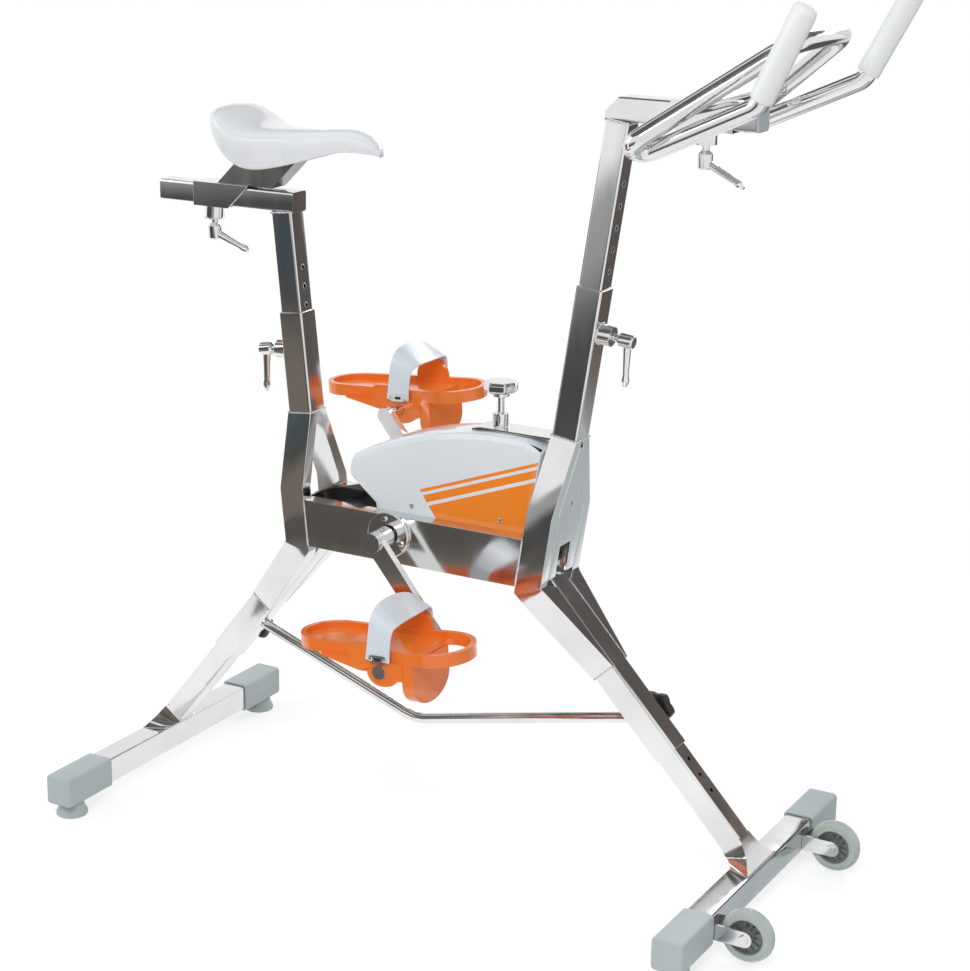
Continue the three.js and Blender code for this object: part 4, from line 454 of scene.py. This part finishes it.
EDGE_WIDTHS = {
    "pedal": 0.0016, "cap": 0.0008, "foot": 0.001, "beam": 0.0009, "side_tube": 0.001, "strap": 0.0009,
}
OTHER_EDGE_WIDTH = 0.0007
EDGE_ANGLE = 32
WELD_DISTANCE = 0.00002
ROUND_WORDS = (
    "stretcher", "handlebar", "strap", "hood", "pedal", "saddle_lever", "crank", "wheel", "flywheel", "belt",
)
LONG_EDGE = 0.055
SLIGHT_ANGLE = 6


def part_flat_faces(mesh):
    """Crisp edges between long flat faces that meet at more than a slight angle."""
    work = bmesh.new()
    work.from_mesh(mesh)
    long_face = {face: max(edge.calc_length() for edge in face.edges) > LONG_EDGE for face in work.faces}
    for edge in work.edges:
        if len(edge.link_faces) == 2 and all(long_face[face] for face in edge.link_faces):
            edge.smooth = edge.calc_face_angle(0) < math.radians(SLIGHT_ANGLE)
    work.to_mesh(mesh)
    work.free()


def dress_nodes(looks):
    """Each solid's material, with its edges rounded and its flat faces shaded flat."""
    slot_of = {item["node"]: item["material_slot"] for item in frame["record"]["subparts"]}
    for name, item in frame["nodes"].items():
        item.data.materials.clear()
        item.data.materials.append(looks[slot_of[name]])
        item.data.polygons.foreach_set("use_smooth", [True] * len(item.data.polygons))
        if not any(word in name for word in ROUND_WORDS):
            part_flat_faces(item.data)
        weld = item.modifiers.new("weld", "WELD")
        weld.merge_threshold = WELD_DISTANCE
        bevel = item.modifiers.new("edges", "BEVEL")
        widths = [width for word, width in EDGE_WIDTHS.items() if word in name]
        bevel.width = widths[0] if widths else OTHER_EDGE_WIDTH
        bevel.segments = 2
        bevel.limit_method = "ANGLE"
        bevel.angle_limit = math.radians(EDGE_ANGLE)
        bevel.use_clamp_overlap = True
        weighted = item.modifiers.new("flat_faces", "WEIGHTED_NORMAL")
        weighted.keep_sharp = True


# Shape helpers, from here on in millimetres

def add_piece(name, verts, faces, body, slot_name, looks, sharp=None):
    """Smooth piece on a body; sharp is the angle in degrees from which its edges stay crisp."""
    mesh = bpy.data.meshes.new(name)
    mesh.from_pydata([tuple(Vector(v) * MM) for v in verts], [], faces)
    work = bmesh.new()
    work.from_mesh(mesh)
    bmesh.ops.remove_doubles(work, verts=work.verts, dist=1e-6)
    bmesh.ops.recalc_face_normals(work, faces=work.faces)
    work.to_mesh(mesh)
    work.free()
    mesh.materials.append(looks[slot_name])
    mesh.polygons.foreach_set("use_smooth", [True] * len(mesh.polygons))
    if sharp:
        mesh.set_sharp_from_angle(angle=math.radians(sharp))
    item = bpy.data.objects.new(name, mesh)
    scene.collection.objects.link(item)
    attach(item, body)
    return item


def soften(piece):
    smooth = piece.modifiers.new("smooth", "SUBSURF")
    smooth.levels = smooth.render_levels = 1


def ring_faces(count, sides, closed=False):
    """Faces between rings of points that follow each other, capped at both ends unless they close."""
    faces = []
    for i in range(count if closed else count - 1):
        here, ahead = i * sides, (i + 1) % count * sides
        for k in range(sides):
            beside = (k + 1) % sides
            faces.append((here + k, here + beside, ahead + beside, ahead + k))
    if not closed:
        faces += [tuple(range(sides)), tuple((count - 1) * sides + k for k in range(sides))]
    return faces


def ring_points(origin, axis, radius, count=28):
    axis = Vector(axis).normalized()
    u = axis.orthogonal().normalized()
    v = axis.cross(u)
    turns = [2 * math.pi * k / count for k in range(count)]
    return [origin + (u * math.cos(t) + v * math.sin(t)) * radius for t in turns]


def bend_points(corners, radii):
    """Straight runs with rounded bends."""
    step = math.pi / 24
    points = [corners[0]]
    for before, corner, after, radius in zip(corners, corners[1:], corners[2:], radii):
        into = (corner - before).normalized()
        out = (after - corner).normalized()
        turn = into.angle(out)
        start = corner - into * (radius * math.tan(turn / 2))
        side = (out - into * out.dot(into)).normalized()
        centre = start + side * radius
        steps = max(3, math.ceil(turn / step))
        for k in range(steps + 1):
            angle = turn * k / steps
            points.append(centre - side * (radius * math.cos(angle)) + into * (radius * math.sin(angle)))
    points.append(corners[-1])
    return points


def tube_skin(points, sides, radius_at, closed=False, squareness=2.0):
    """Rings carried along a line of points without twisting; radius_at gives each ring's radius."""
    count = len(points)
    verts = []
    normal = None
    for i, point in enumerate(points):
        if closed:
            tangent = (points[(i + 1) % count] - points[i - 1]).normalized()
        else:
            tangent = (points[min(i + 1, count - 1)] - points[max(i - 1, 0)]).normalized()
        if normal is None:
            normal = tangent.orthogonal().normalized()
        normal = (normal - tangent * normal.dot(tangent)).normalized()
        across = tangent.cross(normal)
        for k in range(sides):
            angle = 2 * math.pi * k / sides
            c, s = math.cos(angle), math.sin(angle)
            swell = (abs(c) ** squareness + abs(s) ** squareness) ** (-1 / squareness)
            verts.append(point + (normal * c + across * s) * (radius_at(i) * swell))
    return verts, ring_faces(count, sides, closed)


def turned_skin(profile, sides, origin, axis):
    """Profile of (radius, height) turned about an axis through a point."""
    least_radius = 0.01
    unit = Vector(axis).normalized()
    verts = []
    for radius, height in profile:
        verts += ring_points(Vector(origin) + unit * height, axis, max(radius, least_radius), sides)
    return verts, ring_faces(len(profile), sides)


def prism(outline, y, depth):
    """Outline of (x, z) drawn out from one y towards the camera's side."""
    count = len(outline)
    verts = [Vector((x, y, z)) for x, z in outline] + [Vector((x, y - depth, z)) for x, z in outline]
    return verts, ring_faces(2, count)


class Pile:
    """Several small skins gathered into one piece."""

    def __init__(self):
        self.verts, self.faces = [], []

    def add(self, skin):
        verts, faces = skin
        start = len(self.verts)
        self.verts += verts
        self.faces += [tuple(i + start for i in face) for face in faces]

    def make(self, name, body, slot_name, looks, sharp=None):
        add_piece(name, self.verts, self.faces, body, slot_name, looks, sharp)


class Line:
    """A mast or leg: foot, direction along it and one out of it."""

    def __init__(self, foot, along, out):
        self.foot, self.along, self.out = Vector(foot), Vector(along).normalized(), Vector(out).normalized()

    def on(self, along, out, y=0.0):
        return self.foot + self.along * along + self.out * out + Vector((0, y, 0))


FRONT_MAST = Line((132.15, 0, 425), (0.14574, 0, 0.98932), (0.98932, 0, -0.14574))
REAR_MAST = Line((-255.85, 0, 425), (-0.10435, 0, 0.99454), (0.99454, 0, 0.10435))
FRONT_LEG = Line((132.15, 0, 425), (0.68049, 0, -0.73275), (0.73275, 0, 0.68049))
REAR_LEG = Line((-255.85, 0, 425), (-0.62329, 0, -0.78199), (0.78199, 0, -0.62329))


# Weld beads

PROUD, BARELY = 0.2, 0.1
BEAM_BEAD_IN, BEAM_BEAD_END = 2, 38
LEG_END_OUT, LEG_END_Y, LEG_END_GAP = 19, 23.5, 0.6
LEG_SEAM_OUT, LEG_SEAM_Y, LEG_SEAM_START, LEG_SEAM_GAP = 19.4, 20.4, 25, 3
GUSSET_EDGE = ((18, 38.2), (114, 38.2), (209, 4.6))
BOSS_RING = 14.9
SHOE_HALF, SHOE_NARROW, SHOE_WIDE = 16, 34, 49


def bead(points, width, closed=False):
    """A rippled bead along straight runs between points."""
    step = 1.1
    mean, ripple, roughness = 0.82, 0.22, 0.25
    path = []
    ends = list(points) + ([points[0]] if closed else [])
    for a, b in zip(ends, ends[1:]):
        steps = max(2, int((b - a).length / step))
        path += [a.lerp(b, k / steps) for k in range(steps)]
    if not closed:
        path.append(ends[-1])
    wobble = [
        mean + ripple * math.sin(i * 1.35) + roughness * noise.noise(point * 0.11)
        for i, point in enumerate(path)
    ]
    return tube_skin(path, 6, lambda i: width * wobble[i], closed)


def square_ring(line, along, half):
    return [line.on(along, o * half, y * half) for o, y in ((-1, -1), (1, -1), (1, 1), (-1, 1))]


def mast_x(mast, z, out):
    """Where a mast's face crosses a height."""
    along = (z - mast.foot.z - mast.out.z * out) / mast.along.z
    return mast.on(along, out).x


def beam_beads(mast, out, side):
    """Upright bead at a beam's end, and the level one over it."""
    y = side * (FRAME_HALF + BARELY)
    low_z, high_z = BEAM_LOW + BEAM_BEAD_IN, BEAM_HIGH - BEAM_BEAD_IN
    low = Vector((mast_x(mast, low_z, out), y, low_z))
    high = Vector((mast_x(mast, high_z, out), y, high_z))
    over = high + Vector((0, 0, BEAM_BEAD_IN + PROUD))
    end = Vector((high.x, side * BEAM_BEAD_END, BEAM_HIGH + PROUD))
    return bead([low, high], width=1.6), bead([over, end], width=1.3)


def leg_beads(leg, length, side):
    """Bead across the end of a side tube, and the seam along it."""
    across = [leg.on(length + LEG_END_GAP, out, side * LEG_END_Y) for out in (-LEG_END_OUT, LEG_END_OUT)]
    along = [leg.on(up, LEG_SEAM_OUT, side * LEG_SEAM_Y) for up in (LEG_SEAM_START, length - LEG_SEAM_GAP)]
    return bead(across, width=1.4), bead(along, width=0.8)


def make_frame_welds(looks):
    pile = Pile()
    for mast, low in ((FRONT_MAST, FRONT_SLEEVE_LOW), (REAR_MAST, REAR_SLEEVE_LOW)):
        pile.add(bead(square_ring(mast, low - PROUD, SLEEVE_HALF + PROUD), width=1.7, closed=True))
    for side in (-1, 1):
        skins = [
            *beam_beads(FRONT_MAST, -SLEEVE_HALF, side), *beam_beads(REAR_MAST, SLEEVE_HALF, side),
            *leg_beads(FRONT_LEG, FRONT_MERGE, side), *leg_beads(REAR_LEG, REAR_MERGE, side),
        ]
        for skin in skins:
            pile.add(skin)
        edge = [FRONT_MAST.on(up, SLEEVE_HALF + BARELY, side * half) for up, half in GUSSET_EDGE]
        pile.add(bead(edge, width=0.55))
    for mast, clamp, out in ((FRONT_MAST, FRONT_CLAMP, 1), (REAR_MAST, REAR_CLAMP, -1)):
        place = mast.on(clamp, out * (SLEEVE_HALF + PROUD))
        pile.add(bead(ring_points(place, mast.out, BOSS_RING), width=1.4, closed=True))
    pile.make("weld_beads_frame", "frame", "stainless", looks)


def make_other_welds(looks):
    """Beads round the legs' shoes, under the tubes on the posts and round the saddle's clamp boss."""
    for body, middle, sense in (("front_foot", FRONT_CROSSBAR_X, 1), ("rear_foot", REAR_CROSSBAR_X, -1)):
        near, far, z = middle - sense * SHOE_HALF, middle + sense * SHOE_HALF, CROSSBAR_TOP + BARELY
        outline = ((near, -SHOE_NARROW), (far, -SHOE_WIDE), (far, SHOE_WIDE), (near, SHOE_NARROW))
        pile = Pile()
        pile.add(bead([Vector((x, y, z)) for x, y in outline], width=1.5, closed=True))
        pile.make("weld_beads_" + body, body, "stainless", looks)
    posts = (("seat_mast", REAR_MAST, REAR_POST_TOP), ("bar_mast", FRONT_MAST, FRONT_POST_TOP))
    for body, mast, top in posts:
        pile = Pile()
        pile.add(bead(square_ring(mast, top, POST_HALF + PROUD), width=1.5, closed=True))
        pile.make("weld_beads_" + body, body, "stainless", looks)
    pile = Pile()
    pile.add(bead(ring_points(Vector(SADDLE_CLAMP), (0, 0, 1), BOSS_RING), width=1.2, closed=True))
    pile.make("weld_beads_seat", "seat", "stainless", looks)


# Pin holes and screws

RIM_RADIUS, RIM_WIDTH, RIM_SUNK = 3.9, 0.5, 0.3
HOLE_ROWS = (("bar_mast", FRONT_MAST, 463, 30.5, 5), ("seat_mast", REAR_MAST, 353.5, 28, 3))
HOOD_SCREWS = ((-71.8, 511.4), (74.2, 513.3))
HOOD_SCREW_Y = 35.6


def rim(origin, axis):
    return tube_skin(ring_points(origin, axis, RIM_RADIUS, 20), 8, lambda i: RIM_WIDTH, closed=True)


def make_hole_rims(looks):
    """Rings sunk into the posts round their pin holes, so that they pass through the sleeves."""
    for body, mast, first, pitch, count in HOLE_ROWS:
        pile = Pile()
        for k in range(count):
            pile.add(rim(mast.on(first + pitch * k, POST_HALF - RIM_SUNK), mast.out))
        pile.make("hole_rims_" + body, body, "stainless", looks, sharp=40)


def screw(origin, axis, radius=3.6, rise=1.5):
    """Round head with a sunk driver recess."""
    return turned_skin([
        (radius, 0), (radius, rise * 0.35), (radius * 0.86, rise * 0.8), (radius * 0.62, rise),
        (radius * 0.5, rise), (radius * 0.46, rise * 0.35), (0, rise * 0.3),
    ], 18, origin, axis)


def make_screws(looks):
    pile = Pile()
    for side in (-1, 1):
        for x, z in HOOD_SCREWS:
            pile.add(screw(Vector((x, side * HOOD_SCREW_Y, z)), (0, side, 0)))
    pile.make("hood_screws", "frame", "stainless", looks, sharp=30)


# Handlebar and grips: places ahead of the slider's rear end, out from the middle, up from the carrier

GRIP_BASE, GRIP_TIP = (189, 182, 55), (249, 194, 176)
HAIRPIN_LOW, HAIRPIN_HIGH = (38, 160, -14.5), (38, 186, 7.5)
ARCH_CORNER, ARCH_FRONT = (192, 100, 122), (200, 0, 125)
BAR_RADIUS, GRIP_BEND, ARCH_BEND, CROWN_BEND = 12.5, 25, 55, 300
GRIP_START, GRIP_OVERHANG = 0.3, 3.3
GRIP_SQUARENESS, GRIP_FIT = 2.35, 0.89


def bar_corners(side):
    """Corners of one half of the bar from its grip to the arch, and the radius of its hairpin."""
    places = (GRIP_TIP, GRIP_BASE, HAIRPIN_LOW, HAIRPIN_HIGH, ARCH_CORNER)
    tip, base, low, high, corner = (
        Vector((BAR_REAR + ahead, side * out, CARRIER_LOW + rise)) for ahead, out, rise in places
    )
    bend = (low - high).length / 2
    low_end = low + (low - base).normalized() * bend
    high_end = high + (high - corner).normalized() * bend
    return [tip, base, low_end, high_end, corner], bend


def make_grip(side, word, looks):
    tip, base, low_end = bar_corners(side)[0][:3]
    up = (tip - base).normalized()
    turn = (base - low_end).angle(up)
    bottom = base + up * (GRIP_BEND * math.tan(turn / 2) + GRIP_START)
    length = (tip - bottom).length + GRIP_OVERHANG
    # Heights along the grip and the radii there
    profile = [
        (0.0, 15.2), (1.2, 16.9), (4, 17.5), (18, 17.1), (length * 0.5, 17.3), (length - 20, 17.5),
        (length - 9, 17.4), (length - 4, 15.9), (length - 1.4, 12.6), (length - 0.2, 8.0), (length, 3.0),
    ]
    path = [bottom + up * height for height, _ in profile]
    skin = tube_skin(path, 40, lambda i: profile[i][1] * GRIP_FIT, squareness=GRIP_SQUARENESS)
    piece = add_piece("grip_sleeve_" + word, *skin, "bars", "white_grip", looks, sharp=60)
    soften(piece)
    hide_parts("grip_" + word)


def make_bars(looks):
    left, bend = bar_corners(1)
    right, _ = bar_corners(-1)
    ahead, out, rise = ARCH_FRONT
    front = Vector((BAR_REAR + ahead, out, CARRIER_LOW + rise))
    half = [GRIP_BEND, bend, bend, ARCH_BEND]
    points = bend_points([*left, front, *reversed(right)], [*half, CROWN_BEND, *reversed(half)])
    skin = tube_skin(points, 36, lambda i: BAR_RADIUS)
    piece = add_piece("handlebar_tube", *skin, "bars", "stainless", looks, sharp=50)
    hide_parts("handlebar")
    for side, word in ((1, "left"), (-1, "right")):
        make_grip(side, word, looks)


# Saddle: a share along it counts from the tail

SADDLE_REAR, SADDLE_HEIGHT, SADDLE_LENGTH = -430.2, 1036.0, 284
SADDLE_STATIONS = 56
NOSE_HALF, SADDLE_SWELL, END_HALF = 19, 54, 2.0
TAIL_LIFT, NOSE_LIFT, NOSE_DROP = 27, 5, 27
CROWN, SKIRT = 10, 50
SKIRT_LEAST, SKIRT_END = 0.37, 0.05
TAIL_SHARE, NOSE_START, NOSE_SHARE = 0.21, 0.82, 0.18
END_ROUND, NOSE_BLUNT = 1.02, 0.7
# Where along the saddle each swell is, and how far it spreads
WIDEST, TAIL_LIFTED, NOSE_LIFTED, DEEPEST = (0.21, 0.28), (0.11, 0.13), (0.82, 0.15), (0.3, 0.34)
# Half section: shares of the half width, of the crown's height and of the skirt's depth
SADDLE_SECTION = [
    (0, 1, 0), (0.18, 0.985, 0), (0.35, 0.93, 0), (0.52, 0.83, 0), (0.68, 0.66, 0), (0.81, 0.42, 0),
    (0.92, 0.12, 0.01), (0.985, 0, 0.07), (1, 0, 0.16), (1, 0, 0.3), (0.99, 0, 0.46), (0.965, 0, 0.62),
    (0.935, 0, 0.78), (0.925, 0, 0.8), (0.92, 0, 0.815), (0.925, 0, 0.83), (0.905, 0, 0.92), (0.87, 0, 0.985),
    (0.8, 0, 1), (0.74, 0, 0.94), (0.7, 0, 0.7), (0.62, 0, 0.36), (0.4, 0, 0.3), (0, 0, 0.27),
]


def bell(t, middle, width):
    return math.exp(-(((t - middle) / width) ** 2))


def round_share(t):
    return math.sqrt(max(0.0, 1 - min(t, 1.0) ** 2))


def saddle_shape(t):
    """Half width, top, crown's height and skirt's depth at a share of the length."""
    into = max(0.0, t - NOSE_START) / NOSE_SHARE
    tail = round_share(max(0.0, TAIL_SHARE - t) / (TAIL_SHARE * END_ROUND))
    nose = round_share(into / END_ROUND)
    end = min(tail, nose)
    wide = (NOSE_HALF + SADDLE_SWELL * bell(t, *WIDEST)) * min(tail, nose ** NOSE_BLUNT)
    lift = TAIL_LIFT * bell(t, *TAIL_LIFTED) + NOSE_LIFT * bell(t, *NOSE_LIFTED)
    top = SADDLE_HEIGHT + lift - NOSE_DROP * (1 - round_share(into))
    body = SKIRT_LEAST + (1 - SKIRT_LEAST) * bell(t, *DEEPEST)
    skirt = SKIRT * body * (SKIRT_END + (1 - SKIRT_END) * end)
    return max(wide, END_HALF), top, CROWN * end, skirt


def make_saddle(looks):
    verts = []
    for i in range(SADDLE_STATIONS + 1):
        t = (1 - math.cos(i / SADDLE_STATIONS * math.pi)) / 2
        half, top, crown, skirt = saddle_shape(t)
        x = SADDLE_REAR + SADDLE_LENGTH * t
        ring = [Vector((x, a * half, top - crown * (1 - c) - skirt * s)) for a, c, s in SADDLE_SECTION]
        verts += ring + [Vector((p.x, -p.y, p.z)) for p in reversed(ring[1:-1])]
    faces = ring_faces(SADDLE_STATIONS + 1, len(SADDLE_SECTION) * 2 - 2)
    piece = add_piece("saddle_shell", verts, faces, "seat", "white_plastic", looks, sharp=70)
    soften(piece)
    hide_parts("saddle")


# Strap fixings: a steel plate with two screws and a black sheet for the painted shade in its slot's recess,
# at the camera's side of each strap

PLATE_RISE, PLATE_HALF, PLATE_END, PLATE_DEPTH = 19, 9, 5.5, 1.6
PLATE_SCREW_X, PLATE_SCREW_RADIUS, PLATE_SCREW_RISE, PLATE_SCREW_OUT = 11, 3.0, 1.4, 1.4
SLOT_HALF, SLOT_END, SLOT_OUT, SLOT_DEPTH = 3.2, 2.2, 1.3, 0.5
PLATE_GAP = 0.1


def slotted_outline(half, end, middle):
    """Two half rounds joined by straight sides."""
    points = []
    for side, start in ((1, -90), (-1, 90)):
        for k in range(9):
            angle = math.radians(start + 180 * k / 8)
            points.append((side * half + end * math.cos(angle), middle + end * math.sin(angle)))
    return points


def node_face(name, spindle):
    """Outermost face of a strap on the camera's side, from its pedal's spindle."""
    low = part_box(name)[0]
    return low[1] / MM - spindle.y - PLATE_GAP


def make_strap_plates(looks):
    tilt = Matrix.Rotation(-math.radians(PEDAL_TILT), 4, "Y")
    for word, place in PEDAL_SPINDLES.items():
        spindle = Vector(place)
        face = node_face("strap_" + word, spindle)
        plate, slot = Pile(), Pile()
        plate.add(prism(slotted_outline(PLATE_HALF, PLATE_END, PLATE_RISE), face, PLATE_DEPTH))
        for x in (-PLATE_SCREW_X, PLATE_SCREW_X):
            seat = Vector((x, face - PLATE_SCREW_OUT, PLATE_RISE))
            plate.add(screw(seat, (0, -1, 0), PLATE_SCREW_RADIUS, PLATE_SCREW_RISE))
        # Black sheet on the plate's face: painted shade standing in for the recess of the slot
        slot.add(prism(slotted_outline(SLOT_HALF, SLOT_END, PLATE_RISE), face - SLOT_OUT, SLOT_DEPTH))
        pieces = ((plate, "stainless", "strap_plate_"), (slot, "black_plastic", "strap_slot_shade_"))
        for pile, kind, name in pieces:
            pile.verts = [tilt @ v + spindle for v in pile.verts]
            pile.make(name + word, word + "_pedal", kind, looks, sharp=30)


make_camera()
make_stage()
looks = make_looks()
dress_nodes(looks)
make_bars(looks)
make_saddle(looks)
make_frame_welds(looks)
make_other_welds(looks)
make_hole_rims(looks)
make_screws(looks)
make_strap_plates(looks)
